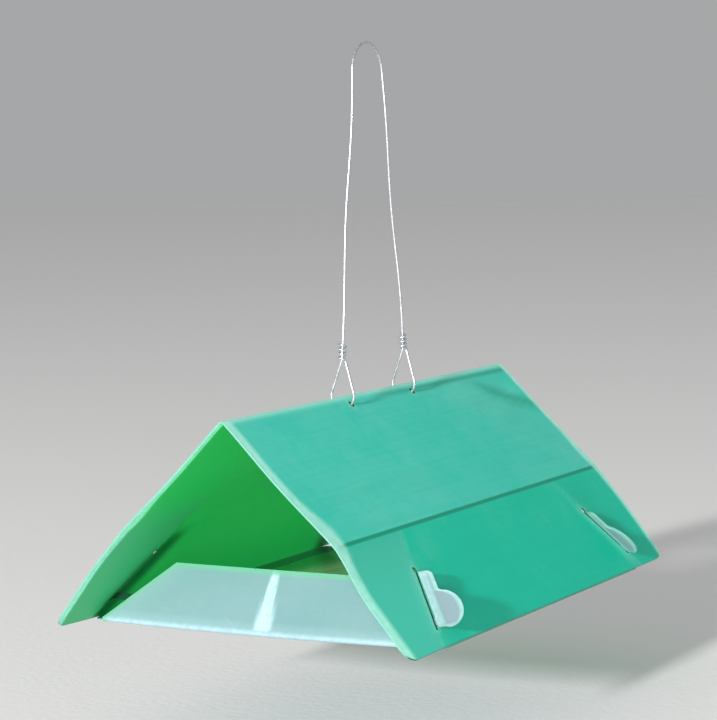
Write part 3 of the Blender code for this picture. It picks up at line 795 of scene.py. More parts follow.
def build_ear(sheets, ears, label, word, materials):
    """One ear with its neck: rows climb the bend line, and each row runs from the neck's end in
    the slit, over the bend line, to the ear's outline. The sheet bends along an arc about the
    bend line, and the lobe curls by a parabola of reach."""
    end, side = ENDS[label], SIDES[word]
    lip = lip_layout(sheets, end)
    root, reach_way, chord_way = ear_axes(lip, side)
    rise_per_chord = chord_way.dot(lip.up)
    neck_low = (ears.neck_low - ears.start) / rise_per_chord
    neck_high = (ears.neck_high - ears.start) / rise_per_chord
    under = ears.lobe_half - ears.lobe_centre
    lobe_rows = -under * np.cos(np.linspace(0.0, math.pi / 2, 7))[1:]
    crown = ears.shoulder / 2
    top_rows = ears.chord - crown + crown * np.sin(np.linspace(0.0, math.pi / 2, 8))
    rows = grid_lines(lobe_rows[0], ears.chord, EAR_STEP,
                      list(lobe_rows) + [0.0, neck_low, neck_high] + list(top_rows))
    neck_share = np.linspace(-1.0, 0.0, 7)
    ear_share = np.concatenate([[0.02, 0.06], np.linspace(0.12, 0.88, 12), [0.94, 0.98, 1.0]])
    share, chord = np.meshgrid(np.concatenate([neck_share, ear_share]), rows)
    inner_reach, outer_reach = ear_limits(chord, ears)
    neck_length = (ears.standoff + sheets.roof_sheet + SLIT_CLEARANCE) / NECK_SLANT
    reach = np.where(share < 0.0, share * neck_length,
                     inner_reach + share * (outer_reach - inner_reach))
    columns = np.concatenate([neck_share, ear_share])
    in_neck = (columns[:-1] + columns[1:])[None, :] / 2 < 0.0
    mid_row = ((rows[:-1] + rows[1:]) / 2)[:, None]
    kept = ~in_neck | ((mid_row > neck_low) & (mid_row < neck_high))
    inward = np.minimum(outer_reach - reach, np.minimum(chord + under, ears.chord - chord))

    out = np.array((0.0, end * math.cos(lip.lean), math.sin(lip.lean)))
    curl = ears.curl * np.square(np.clip(reach / ears.reach, 0.0, 1.0))
    curl = curl * (1.0 - 0.5 * chord / ears.chord)
    lift = curl + 0.00035 * (1.0 - smooth(inward, 0.0004, 0.0024))
    half_run = ears.bend_radius
    turn = ears.bend * rise(reach, -half_run, half_run)
    curve = 2.0 * half_run / ears.bend
    straight = np.maximum(reach - half_run, 0.0)
    forward = np.where(reach < -half_run, reach, curve * np.sin(turn) - half_run
                       + straight * math.cos(ears.bend))
    sunk = curve * (1.0 - np.cos(turn)) + straight * math.sin(ears.bend)
    turn = turn[..., None]
    normal = np.cos(turn) * out + np.sin(turn) * np.array(reach_way)
    place = (np.array(root) + forward[..., None] * np.array(reach_way)
             + chord[..., None] * np.array(chord_way) - sunk[..., None] * out
             + lift[..., None] * normal)
    half = sheets.tray_sheet / 2
    # An ear's pale rim and the strip by its bend line are whitening with a painted highlight
    strip = (1.0 - smooth(reach, 0.0022, 0.0042)) * (reach > 0.0)
    pale = np.maximum(1.0 - smooth(inward, 0.0007, 0.0024), 0.9 * strip)
    values = {
        "crease": np.zeros_like(reach),
        "fold": hump(reach, 0.0012) * 0.8,
        "band": pale,
        "edge": 0.45 * pale,
        "side": np.zeros_like(reach),
        "shade": smooth(-reach, 0.0, 0.0008),
        "middle": smooth(inward, 0.0016, 0.0032) * smooth(reach, 0.0035, 0.0050),
        "bright": 1.0 - smooth(-reach, 0.0, 0.0008),
    }
    flat = np.stack([reach, chord], axis=-1)
    return sheet_solid(f"{label}_{word}_ear_sheet", place + half * normal, place - half * normal,
                       kept, materials, values, flat)


# ---- glue and lure
def build_glue(sheets, small, word, material):
    """A wavy coat over one half of the floor: flat below, and above a few long waves that sink to
    a thin rounded rim."""
    low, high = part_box(f"glue_coat_{word}")
    lip = lip_layout(sheets, FRONT)
    columns = grid_lines(low.x, high.x, GLUE_STEPS[0], [low.x, high.x])
    rows = grid_lines(low.y, high.y, GLUE_STEPS[1], [low.y, high.y])
    x, y = np.meshgrid(columns, rows)
    wobble_x = 0.0011 * np.sin(83.0 * y) + 0.0007 * np.sin(211.0 * y + 1.0)
    wobble_y = 0.0010 * np.sin(97.0 * x) + 0.0006 * np.sin(263.0 * x + 2.0)
    centre_x, centre_y = (low.x + high.x) / 2, (low.y + high.y) / 2
    share_x = (x - centre_x) / ((high.x - low.x) / 2)
    share_y = (y - centre_y) / ((high.y - low.y) / 2)
    to_edge = np.minimum((1 - np.abs(share_x)) * (high.x - low.x),
                         (1 - np.abs(share_y)) * (high.y - low.y)) / 2
    x = x - share_x ** 9 * np.abs(wobble_x)
    y = y - share_y ** 9 * np.abs(wobble_y)
    swell = smooth(to_edge, -0.0004, 0.0030)
    wave = 0.5 + 0.25 * np.sin(140.0 * x + 60.0 * y) + 0.25 * np.sin(190.0 * y - 75.0 * x + 0.8)
    base = low.z + tray_sag(x, y, sheets, lip)
    top = base + small.glue * (0.25 + 0.75 * swell) * (0.82 + 0.36 * wave)
    outer, inner = np.stack([x, y, top], axis=-1), np.stack([x, y, base], axis=-1)
    kept = np.ones((len(rows) - 1, len(columns) - 1), dtype=bool)
    values = {"edge": 1.0 - swell}
    return sheet_solid(f"glue_{word}", outer, inner, kept, [material] * 3, values,
                       np.stack([x, y], axis=-1))


def build_lure(sheets, small, material):
    """A moulded rubber plug turned about its own axis: radius follows the profile from the
    bottom of the well, over the rim, down the skirt and along the plug to its rounded tip."""
    low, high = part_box("rubber_lure")
    lip = lip_layout(sheets, FRONT)
    axis_z = (low.z + high.z) / 2 + float(tray_sag(np.array(0.0), np.array(0.0), sheets, lip))
    rim, tip = high.y, low.y
    soft = 0.0007
    quarter = np.linspace(0.0, math.pi / 2, 6)
    skirt, plug, well = small.skirt_radius, small.plug_radius, small.well_radius
    shoulder = rim - small.skirt_length
    profile = [(0.0006, rim - small.well_depth), (well - soft, rim - small.well_depth + 0.0001)]
    profile += [(well, rim - small.well_depth + soft), (well, rim - 0.0030)]
    profile += [(well + 0.00012, rim - 0.0010)]
    profile += [(well + soft - 0.0005 * math.cos(a), rim - soft + soft * math.sin(a))
                for a in quarter]
    profile += [(skirt - soft + soft * math.sin(a), rim - soft + soft * math.cos(a))
                for a in quarter]
    profile += [(skirt, rim - 0.0030), (skirt - 0.0001, shoulder + 0.0012)]
    profile += [(skirt - soft + soft * math.cos(a), shoulder + soft - soft * math.sin(a))
                for a in quarter]
    profile += [(plug + 0.0002, shoulder - 0.0004), (plug, shoulder - 0.0012)]
    profile += [(plug - 0.0001, (shoulder + tip) / 2), (small.tip_radius + 0.0001, tip + 0.0016)]
    profile += [(small.tip_radius - soft + soft * math.cos(a), tip + soft - soft * math.sin(a))
                for a in quarter]
    profile += [(0.0006, tip)]
    radius, place = np.array(profile).T
    angle = np.linspace(0.0, 2.0 * math.pi, LURE_SIDES, endpoint=False)
    seam = 1.0 + 0.012 * (hump(np.sin(angle), 0.09))
    rings = np.stack([
        radius[:, None] * np.cos(angle) * seam,
        np.repeat(place[:, None], len(angle), axis=1),
        axis_z + radius[:, None] * np.sin(angle) * seam], axis=-1)
    return closed_skin("rubber_plug", rings, [material], {"edge": np.zeros(len(radius))},
                       math.radians(45))


# ---- hanger
def hanger_route(small, spacing):
    """Middle line of the hanger's one wire, tail to tail.

    Each foot is a tear-shaped eye about the ridge whose tail winds back up its own leg in a
    helix; the legs lean in to touch the arch over the branch, and waver a little from hand
    bending.
    """
    ridge = Vector(JOINTS["hanger_swing"]["pos_m"])
    top = small.wire / 2 - small.arch_radius
    foot = np.array([0.0, spacing / 2, ridge.z + small.eye_height])
    centre = np.array([0.0, 0.0, top])
    gap = foot[1:] - centre[1:]
    angle = math.atan2(gap[1], gap[0]) + math.acos(small.arch_radius / np.hypot(*gap))
    touch = centre + small.arch_radius * np.array([0.0, math.cos(angle), math.sin(angle)])
    leg = (touch - foot) / np.linalg.norm(touch - foot)

    lean = math.asin(small.eye_radius / small.eye_height)
    sweep = np.linspace(2.0 * math.pi + lean, math.pi - lean, 61)
    eye = np.stack([small.eye_radius * np.cos(sweep), np.full_like(sweep, foot[1]),
                    ridge.z + small.eye_radius * np.sin(sweep)], axis=-1)
    turns = np.linspace(TAIL_TURNS, 0.0, int(TAIL_TURNS * 28))
    side, front = np.array([1.0, 0.0, 0.0]), np.cross(leg, [1.0, 0.0, 0.0])
    wound = small.wire + small.tail_gap
    helix = (foot + small.tail_pitch * turns[:, None] * leg
             + wound * (np.cos(2 * math.pi * turns)[:, None] * side
                        + np.sin(2 * math.pi * turns)[:, None] * front))
    straight = np.linspace(0.0, 1.0, 90)[:, None]
    waver = (0.0005 * np.sin(3.0 * math.pi * straight) * np.array([1.0, 0.0, 0.0])
             + 0.0006 * np.sin(2.0 * math.pi * straight) * np.array([0.0, 1.0, 0.0]))
    run_up = foot + straight * (touch - foot) + waver
    over = np.linspace(angle, math.pi - angle, 41)[1:-1]
    arch = np.stack([np.zeros_like(over), small.arch_radius * np.cos(over),
                     top + small.arch_radius * np.sin(over)], axis=-1)
    mirrored = np.array([1.0, -1.0, 1.0])
    first = np.concatenate([helix, eye, run_up])
    return np.concatenate([first, arch, (first * mirrored)[::-1]])


def evened(route, step, passes):
    """The same route with points a step apart, after its corners are averaged out."""
    def spaced(points, pace):
        lengths = np.linalg.norm(np.diff(points, axis=0), axis=1)
        place = np.concatenate([[0.0], np.cumsum(lengths)])
        even = np.linspace(0.0, place[-1], int(place[-1] / pace) + 1)
        return np.stack([np.interp(even, place, points[:, axis]) for axis in range(3)], axis=-1)

    points = spaced(route, step)
    for _ in range(passes):
        inner = (points[:-2] + 2.0 * points[1:-1] + points[2:]) / 4.0
        points = np.concatenate([points[:1], inner, points[-1:]])
    return points


def build_hanger(small, spacing, material):
    """A round wire carried along its route, a little thinner at its two snipped ends."""
    route = evened(hanger_route(small, spacing), WIRE_STEP, 6)
    count = len(route)
    place = np.minimum(np.arange(count), np.arange(count)[::-1])
    radius = small.wire / 2 * (0.80 + 0.20 * smooth(place, 0, 3))
    rings = carried_profile(route, radius, WIRE_SIDES)
    return closed_skin("wire_bail", rings, [material], {"edge": 1.0 - smooth(place, 0, 4)})


# ---- node groups
def new_group(name, inputs, outputs):
    """An empty shader group with float, colour or vector sockets, and its two end nodes."""
    kinds = {"value": "NodeSocketFloat", "colour": "NodeSocketColor", "vector": "NodeSocketVector"}
    tree = bpy.data.node_groups.new(name, "ShaderNodeTree")
    for label, kind, default in inputs:
        socket = tree.interface.new_socket(label, in_out="INPUT", socket_type=kinds[kind])
        if default is not None:
            socket.default_value = default
    for label, kind in outputs:
        tree.interface.new_socket(label, in_out="OUTPUT", socket_type=kinds[kind])
    return tree, tree.nodes.new("NodeGroupInput").outputs, tree.nodes.new("NodeGroupOutput").inputs


def put(socket, value):
    """Links an output to a socket, or sets the socket's own value."""
    if isinstance(value, bpy.types.NodeSocket):
        socket.id_data.links.new(value, socket)
    elif value is not None:
        socket.default_value = value


def maths(tree, operation, first, second=None, third=None, clamp=False):
    """The result of a math node."""
    node = tree.nodes.new("ShaderNodeMath")
    node.operation = operation
    node.use_clamp = clamp
    for socket, value in zip(node.inputs, (first, second, third)):
        put(socket, value)
    return node.outputs[0]


def mapped(tree, value, low, high, new_low=0.0, new_high=1.0):
    """A value moved from one range to another and held inside it."""
    node = tree.nodes.new("ShaderNodeMapRange")
    for socket, amount in zip(node.inputs, (value, low, high, new_low, new_high)):
        put(socket, amount)
    return node.outputs[0]


def mixed(tree, share, first, second):
    """A colour mix: the first at share 0, the second at share 1."""
    node = tree.nodes.new("ShaderNodeMix")
    node.data_type = "RGBA"
    put(node.inputs[0], share)
    put(node.inputs[6], first if isinstance(first, bpy.types.NodeSocket) else (*first, 1.0))
    put(node.inputs[7], second if isinstance(second, bpy.types.NodeSocket) else (*second, 1.0))
    return node.outputs[2]


def noise(tree, vector, scale, detail=2.0, roughness=0.5, distortion=0.0):
    """Soft noise over a vector."""
    node = tree.nodes.new("ShaderNodeTexNoise")
    put(node.inputs["Vector"], vector)
    put(node.inputs["Scale"], scale)
    node.inputs["Detail"].default_value = detail
    node.inputs["Roughness"].default_value = roughness
    node.inputs["Distortion"].default_value = distortion
    return node.outputs["Fac"]


def stretched(tree, vector, scale, turn=(0.0, 0.0, 0.0)):
    """A vector turned and scaled."""
    node = tree.nodes.new("ShaderNodeMapping")
    put(node.inputs["Vector"], vector)
    node.inputs["Rotation"].default_value = turn
    node.inputs["Scale"].default_value = scale
    return node.outputs[0]


def attribute(tree, label):
    """An amount that is stored on the mesh."""
    node = tree.nodes.new("ShaderNodeAttribute")
    node.attribute_name = label
    return node.outputs["Fac"]


def cloudy_group():
    """A colour that drifts a little darker, lighter and greyer over the surface."""
    tree, given, made = new_group(
        "cloudy_colour",
        [("Vector", "vector", None), ("Colour", "colour", (0.5, 0.5, 0.5, 1.0)),
         ("Amount", "value", 0.1), ("Scale", "value", 20.0)],
        [("Colour", "colour")])
    broad = noise(tree, given["Vector"], given["Scale"], 3.0, 0.55)
    fine = noise(tree, given["Vector"], maths(tree, "MULTIPLY", given["Scale"], 9.0), 2.0, 0.6)
    drift = maths(tree, "ADD", maths(tree, "MULTIPLY", broad, 0.7),
                  maths(tree, "MULTIPLY", fine, 0.3))
    swing = maths(tree, "SUBTRACT", drift, 0.5)
    factor = maths(tree, "MULTIPLY_ADD", maths(tree, "MULTIPLY", swing, given["Amount"]), 4.0, 1.0)
    hue = tree.nodes.new("ShaderNodeHueSaturation")
    put(hue.inputs["Value"], factor)
    put(hue.inputs["Saturation"], maths(tree, "MULTIPLY_ADD", swing, -0.35, 1.0))
    put(hue.inputs["Color"], given["Colour"])
    put(made["Colour"], hue.outputs[0])
    return tree


def sheet_group():
    """Rolled plastic sheet: a pebbled press, long draw lines and their raised scuffs.

    The vector is the flat sheet in metres, with the draw lines along its first axis.
    """
    tree, given, made = new_group(
        "rolled_sheet",
        [("Vector", "vector", None), ("Scuffing", "value", 0.5)],
        [("Height", "value"), ("Lines", "value"), ("Scuffs", "value")])
    pebble = tree.nodes.new("ShaderNodeTexVoronoi")
    put(pebble.inputs["Vector"], given["Vector"])
    pebble.inputs["Scale"].default_value = 1500.0
    grain = noise(tree, given["Vector"], 3200.0, 2.0)
    lines = noise(tree, stretched(tree, given["Vector"], (0.035, 1.0, 1.0)), 520.0, 3.0, 0.65)
    broad = noise(tree, stretched(tree, given["Vector"], (0.05, 1.0, 1.0)), 130.0, 2.0)
    drawn = maths(tree, "ADD", maths(tree, "MULTIPLY", lines, 0.6),
                  maths(tree, "MULTIPLY", broad, 0.4))
    height = maths(tree, "ADD", maths(tree, "MULTIPLY", pebble.outputs["Distance"], 0.35),
                   maths(tree, "MULTIPLY", grain, 0.25))
    height = maths(tree, "ADD", height, maths(tree, "MULTIPLY", drawn, 0.40))
    marks = []
    for turn, scale in ((0.35, 260.0), (-0.62, 210.0), (1.30, 240.0)):
        turned = stretched(tree, given["Vector"], (1.0, 1.0, 1.0), (0.0, 0.0, turn))
        thin = noise(tree, stretched(tree, turned, (0.05, 1.0, 1.0)), scale * 4.0, 1.0)
        patch = noise(tree, turned, scale * 0.16, 1.0)
        line = mapped(tree, thin, 0.70, 0.76)
        marks.append(maths(tree, "MULTIPLY", line, mapped(tree, patch, 0.52, 0.64)))
    scuffs = maths(tree, "MAXIMUM", maths(tree, "MAXIMUM", marks[0], marks[1]), marks[2])
    put(made["Height"], height)
    put(made["Lines"], drawn)
    put(made["Scuffs"], maths(tree, "MULTIPLY", scuffs, given["Scuffing"], clamp=True))
    return tree


def dust_group():
    """Fine specks that gather in loose patches, more of them on faces that look up."""
    tree, given, made = new_group(
        "dust", [("Vector", "vector", None), ("Amount", "value", 0.3)], [("Mask", "value")])
    speck = tree.nodes.new("ShaderNodeTexVoronoi")
    put(speck.inputs["Vector"], given["Vector"])
    speck.inputs["Scale"].default_value = 420.0
    dots = mapped(tree, speck.outputs["Distance"], 0.16, 0.08)
    patch = mapped(tree, noise(tree, given["Vector"], 34.0, 3.0), 0.46, 0.66)
    face = tree.nodes.new("ShaderNodeNewGeometry")
    split = tree.nodes.new("ShaderNodeSeparateXYZ")
    put(split.inputs[0], face.outputs["Normal"])
    upward = mapped(tree, split.outputs[2], 0.1, 0.9)
    veil = maths(tree, "MULTIPLY", mapped(tree, noise(tree, given["Vector"], 60.0, 4.0),
                                          0.45, 0.80), 0.35)
    mask = maths(tree, "MULTIPLY", maths(tree, "MAXIMUM", dots, veil),
                 maths(tree, "MULTIPLY", patch, upward))
    put(made["Mask"], maths(tree, "MULTIPLY", mask, given["Amount"], clamp=True))
    return tree


def group_node(tree, group, **values):
    """The outputs of a node group that is given these values."""
    node = tree.nodes.new("ShaderNodeGroup")
    node.node_tree = group
    for label, value in values.items():
        put(node.inputs[label], value)
    return node.outputs


def coordinates(tree):
    """Places in the object's own space."""
    node = tree.nodes.new("ShaderNodeTexCoord")
    return node.outputs["Object"]


def flat_map(tree):
    """Places in the flat, unfolded sheet."""
    node = tree.nodes.new("ShaderNodeUVMap")
    node.uv_map = "flat_sheet"
    return node.outputs[0]


def new_material(name):
    """A material, its node tree and its Principled shader."""
    made = bpy.data.materials.new(name)
    made.use_nodes = True
    return made, made.node_tree, made.node_tree.nodes["Principled BSDF"]


def bumped(tree, shader, height, distance):
    """Gives the shader a bump whose full height is the distance."""
    node = tree.nodes.new("ShaderNodeBump")
    node.inputs["Distance"].default_value = distance
    node.inputs["Strength"].default_value = 1.0
    put(node.inputs["Height"], height)
    put(shader.inputs["Normal"], node.outputs[0])


# ---- materials
def roof_material(name, colours, groups, outside):
    """Green sheet: cloudy colour, draw lines, creases and streaks in painted shade, bending
    whitened and dusty, a painted sheen on the upper panels, painted light and shade ahead of the
    slits, and whitening with a painted highlight along the end edges; inside, painted light and a
    painted glow.
    """
    made, tree, shader = new_material(name)
    place = coordinates(tree)
    sheet = group_node(tree, groups.sheet, Vector=flat_map(tree), Scuffing=0.45)
    # The inside colour holds painted light from the roof and the walls
    colour = colours.roof if outside else colours.roof_inside
    # Outside, the upper panels take a painted sheen
    upper = colours.roof_upper_sheen if outside else colours.roof_inside
    base = mixed(tree, attribute(tree, "upper"), colour, upper)
    tint = group_node(tree, groups.cloudy, Vector=place, Colour=base, Amount=0.045,
                      Scale=17.0)["Colour"]
    tint = mixed(tree, mapped(tree, sheet["Lines"], 0.40, 0.66, 0.0, 0.16), tint,
                 [share * 0.80 for share in colour])
    dust = group_node(tree, groups.dust, Vector=place, Amount=0.10)["Mask"]
    tint = mixed(tree, dust, tint, colours.dust)
    scuffed = maths(tree, "MULTIPLY", sheet["Scuffs"], 0.35)
    tint = mixed(tree, scuffed, tint, colours.whitening)
    if outside:
        # Painted light on the flaps ahead of the front slits
        flap = maths(tree, "MULTIPLY", attribute(tree, "flap"), 0.9)
        tint = mixed(tree, flap, tint, colours.flap_outside_lit)
        white = maths(tree, "MULTIPLY", attribute(tree, "strain_and_shade"),
                      mapped(tree, noise(tree, place, 700.0, 3.0), 0.30, 0.70, 0.25, 0.65))
        tint = mixed(tree, white, tint, colours.whitening)
        # Painted shade streaks on the right panel
        tint = mixed(tree, maths(tree, "MULTIPLY", attribute(tree, "shade_streak"), 0.75), tint,
                     colours.roof_crease_shade)
        tint = mixed(tree, maths(tree, "MULTIPLY", attribute(tree, "ridge"), 0.85), tint,
                     colours.roof_whitening_and_highlight)
        # Painted shade along the creases
        tint = mixed(tree, attribute(tree, "crease"), tint, colours.roof_crease_shade)
    else:
        # Painted shade on the inside ahead of each slit
        tint = mixed(tree, attribute(tree, "dull"), tint, colours.flap_inside_shaded)
        # Painted shade beside the slits, inside
        shaded = maths(tree, "MAXIMUM", attribute(tree, "nook_shade"), attribute(tree, "strain_and_shade"))
        tint = mixed(tree, maths(tree, "MULTIPLY", shaded, 0.75), tint, colours.nook_shade)
        # Painted glow of light through the roof, dimmed as painted shade ahead of and beside the
        # slits
        glow = mixed(tree, maths(tree, "MULTIPLY", attribute(tree, "dull"), 0.7),
                     colours.roof_glow, colours.flap_glow)
        glow = mixed(tree, shaded, glow, colours.nook_glow)
        put(shader.inputs["Emission Color"], glow)
        shader.inputs["Emission Strength"].default_value = 1.0
    # Whitening and painted highlight along the end edges
    furred = mapped(tree, noise(tree, place, 260.0, 3.0), 0.30, 0.70, 0.70, 1.0)
    sharpness = 1.0 if outside else 6.0
    edge = maths(tree, "MULTIPLY", maths(tree, "POWER", attribute(tree, "edge"), sharpness), furred)
    tint = mixed(tree, edge, tint, colours.roof_whitening_and_highlight)
    put(shader.inputs["Base Color"], tint)
    worn = maths(tree, "ADD", maths(tree, "MULTIPLY", sheet["Scuffs"], 0.18),
                 maths(tree, "MULTIPLY", dust, 0.30))
    put(shader.inputs["Roughness"], maths(tree, "ADD", worn, mapped(
        tree, sheet["Height"], 0.2, 0.8, 0.38, 0.54)))
    shader.inputs["IOR"].default_value = 1.34
    bumped(tree, shader, maths(tree, "SUBTRACT", sheet["Height"],
                               maths(tree, "MULTIPLY", sheet["Scuffs"], 0.4)), 0.00009)
    return made


def cut_edge_material(colours, groups):
    """Cut edge of a sheet: furred by the blade, pale at the bright ends and painted shade
    elsewhere.
    """
    made, tree, shader = new_material("cut_edge")
    place = coordinates(tree)
    tint = group_node(tree, groups.cloudy, Vector=place, Colour=(*colours.cut_edge, 1.0),
                      Amount=0.06, Scale=160.0)["Colour"]
    fur = noise(tree, place, 2600.0, 3.0)
    tint = mixed(tree, mapped(tree, fur, 0.50, 0.75, 0.0, 0.35), tint, colours.whitening)
    # Painted shade on the cut edges away from the bright ends
    tint = mixed(tree, attribute(tree, "bright"), colours.edge_shade, tint)
    put(shader.inputs["Base Color"], tint)
    put(shader.inputs["Roughness"], mapped(tree, fur, 0.3, 0.7, 0.42, 0.62))
    bumped(tree, shader, fur, 0.00005)
    return made


def tray_material(name, colours, groups, scuffing):
    """Pale blue-white sheet: faint draw lines, whitened folds, a green rim, greenish sides, a
    painted highlight on the ears' rims, and painted shade on the necks in the slits.
    """
    made, tree, shader = new_material(name)
    place = coordinates(tree)
    sheet = group_node(tree, groups.sheet, Vector=flat_map(tree), Scuffing=scuffing)
    tint = group_node(tree, groups.cloudy, Vector=place, Colour=(*colours.tray, 1.0),
                      Amount=0.035, Scale=26.0)["Colour"]
    tint = mixed(tree, mapped(tree, sheet["Lines"], 0.40, 0.68, 0.0, 0.16), tint,
                 [share * 0.86 for share in colours.tray])
    tint = mixed(tree, maths(tree, "MULTIPLY", attribute(tree, "side"), 0.30), tint,
                 colours.lip_side)
    # Folds and bands are whitened; on the ears the band is also a painted highlight
    bent = maths(tree, "MAXIMUM", maths(tree, "MULTIPLY", attribute(tree, "band"), 0.95),
                 maths(tree, "MULTIPLY", attribute(tree, "fold"), 0.55))
    bent = maths(tree, "MULTIPLY", bent, mapped(tree, noise(tree, place, 420.0, 3.0),
                                                0.30, 0.65, 0.65, 1.0))
    tint = mixed(tree, bent, tint, colours.tray_whitening_and_highlight)
    tint = mixed(tree, maths(tree, "MULTIPLY", attribute(tree, "edge"), 0.90), tint,
                 colours.tray_rim)
    tint = mixed(tree, maths(tree, "MULTIPLY", attribute(tree, "middle"), 0.80), tint,
                 colours.ear_middle)
    tint = mixed(tree, maths(tree, "MULTIPLY", sheet["Scuffs"], 0.35), tint, colours.tray_whitening_and_highlight)
    dust = group_node(tree, groups.dust, Vector=place, Amount=0.22)["Mask"]
    tint = mixed(tree, dust, tint, colours.dust)
    tint = mixed(tree, attribute(tree, "shade"), tint, colours.neck_shade)
    put(shader.inputs["Base Color"], tint)
    put(shader.inputs["Roughness"], maths(tree, "ADD", maths(tree, "MULTIPLY", dust, 0.3), mapped(
        tree, sheet["Height"], 0.2, 0.8, 0.30, 0.46)))
    shader.inputs["IOR"].default_value = 1.49
    bumped(tree, shader, sheet["Height"], 0.00007)
    return made


def glue_material(colours, groups):
    """Tacky glue, painted dark green for the shade and the green light under the roof: wet and
    wavy, with fine bubbles and caught specks.
    """
    made, tree, shader = new_material("tacky_glue")
    place = coordinates(tree)
    tint = group_node(tree, groups.cloudy, Vector=place, Colour=(*colours.glue, 1.0),
                      Amount=0.08, Scale=40.0)["Colour"]
    bubbles = tree.nodes.new("ShaderNodeTexVoronoi")
    put(bubbles.inputs["Vector"], place)
    bubbles.inputs["Scale"].default_value = 900.0
    caught = mapped(tree, bubbles.outputs["Distance"], 0.12, 0.06)
    caught = maths(tree, "MULTIPLY", caught, mapped(tree, noise(tree, place, 60.0), 0.5, 0.7))
    tint = mixed(tree, maths(tree, "MULTIPLY", caught, 0.6), tint, colours.glue_bubble)
    put(shader.inputs["Base Color"], tint)
    waves = noise(tree, stretched(tree, place, (1.0, 0.4, 1.0)), 190.0, 3.0, 0.5, 0.6)
    put(shader.inputs["Roughness"], mapped(tree, waves, 0.3, 0.7, 0.08, 0.22))
    shader.inputs["IOR"].default_value = 1.50
    bumped(tree, shader, maths(tree, "ADD", waves, maths(tree, "MULTIPLY", caught, 0.3)), 0.0004)
    return made


def rubber_material(colours, groups):
    """Dull natural red rubber with a powdery bloom and fine mould grain."""
    made, tree, shader = new_material("lure_rubber_skin")
    place = coordinates(tree)
    tint = group_node(tree, groups.cloudy, Vector=place, Colour=(*colours.lure, 1.0),
                      Amount=0.09, Scale=220.0)["Colour"]
    bloom = mapped(tree, noise(tree, place, 420.0, 4.0, 0.6), 0.48, 0.72, 0.0, 0.30)
    tint = mixed(tree, bloom, tint, colours.lure_bloom)
    put(shader.inputs["Base Color"], tint)
    grain = noise(tree, place, 3000.0, 2.0)
    put(shader.inputs["Roughness"], mapped(tree, grain, 0.3, 0.7, 0.62, 0.82))
    bumped(tree, shader, maths(tree, "ADD", grain, maths(tree, "MULTIPLY", bloom, 2.0)), 0.00006)
    return made


def wire_material(colours, groups):
    """Galvanised wire: dull zinc with paler bloom, darker draw marks and bright snipped ends."""
    made, tree, shader = new_material("zinc_skin")
    place = coordinates(tree)
    tint = group_node(tree, groups.cloudy, Vector=place, Colour=(*colours.wire, 1.0),
                      Amount=0.10, Scale=300.0)["Colour"]
    bloom = mapped(tree, noise(tree, place, 900.0, 3.0), 0.45, 0.70)
    tint = mixed(tree, maths(tree, "MULTIPLY", bloom, 0.35), tint, colours.wire_bloom)
    stain = mapped(tree, noise(tree, place, 160.0, 3.0), 0.58, 0.74)
    tint = mixed(tree, maths(tree, "MULTIPLY", stain, 0.4), tint, colours.wire_stain)
    tint = mixed(tree, attribute(tree, "edge"), tint, colours.wire_end)
    put(shader.inputs["Base Color"], tint)
    put(shader.inputs["Metallic"], mapped(tree, bloom, 0.0, 1.0, 0.90, 0.62))
    put(shader.inputs["Roughness"], mapped(tree, bloom, 0.0, 1.0, 0.32, 0.52))
    bumped(tree, shader, noise(tree, place, 2400.0, 3.0), 0.00003)
    return made


def studio_material(colours):
    """Plain pale floor with a barely visible paper tooth."""
    made, tree, shader = new_material("studio_paper")
    place = coordinates(tree)
    tooth = noise(tree, place, 240.0, 4.0)
    tint = mixed(tree, mapped(tree, tooth, 0.3, 0.7, 0.0, 0.04), colours.floor,
                 [share * 0.8 for share in colours.floor])
    put(shader.inputs["Base Color"], tint)
    put(shader.inputs["Roughness"], mapped(tree, tooth, 0.3, 0.7, 0.78, 0.88))
    bumped(tree, shader, tooth, 0.0002)
    return made


def made_once(name, make):
    """The material of that name, made the first time it is asked for."""
    return bpy.data.materials.get(name) or make()


def shared_groups():
    """The node groups, made the first time they are asked for."""
    known = bpy.data.node_groups
    return SimpleNamespace(
        cloudy=known.get("cloudy_colour") or cloudy_group(),
        sheet=known.get("rolled_sheet") or sheet_group(),
        dust=known.get("dust") or dust_group())


def finish(name):
    """A finish by its name, with the colours that are set in the scene."""
    colours, groups = bpy.context.scene.trap_colours, shared_groups()
    makers = {
        "roof_outside": lambda: roof_material("roof_outside", colours, groups, True),
        "roof_inside": lambda: roof_material("roof_inside", colours, groups, False),
        "cut_edge": lambda: cut_edge_material(colours, groups),
        "tray_sheet": lambda: tray_material("tray_sheet", colours, groups, 0.35),
        "tacky_glue": lambda: glue_material(colours, groups),
        "lure_rubber_skin": lambda: rubber_material(colours, groups),
        "zinc_skin": lambda: wire_material(colours, groups),
        "studio_paper": lambda: studio_material(colours),
    }
    return made_once(name, makers[name])


# ---- studio
FLOOR_GAP = 0.060            # lowest edge of the trap to the floor, room for its full swing
FLOOR_SPREAD = 16.0
LAMP_DISTANCE = 4.2
KEY_WAY = (0.04, -0.970, 0.235)
KEY_SIZE = 0.24
KEY_POWER = 228.0
KEY_COLOUR = (1.0, 0.99, 0.97)
FILL_WAY = (0.49, -0.87, 0.07)
FILL_SIZE = 0.80
FILL_POWER = 78.0
FILL_COLOUR = (0.98, 1.0, 1.0)
LAMP_DROP = 0.04             # ridge down to the point that the lamps face
SKY_COLOUR = (0.93, 0.94, 0.95, 1.0)
SKY_STRENGTH = 0.41


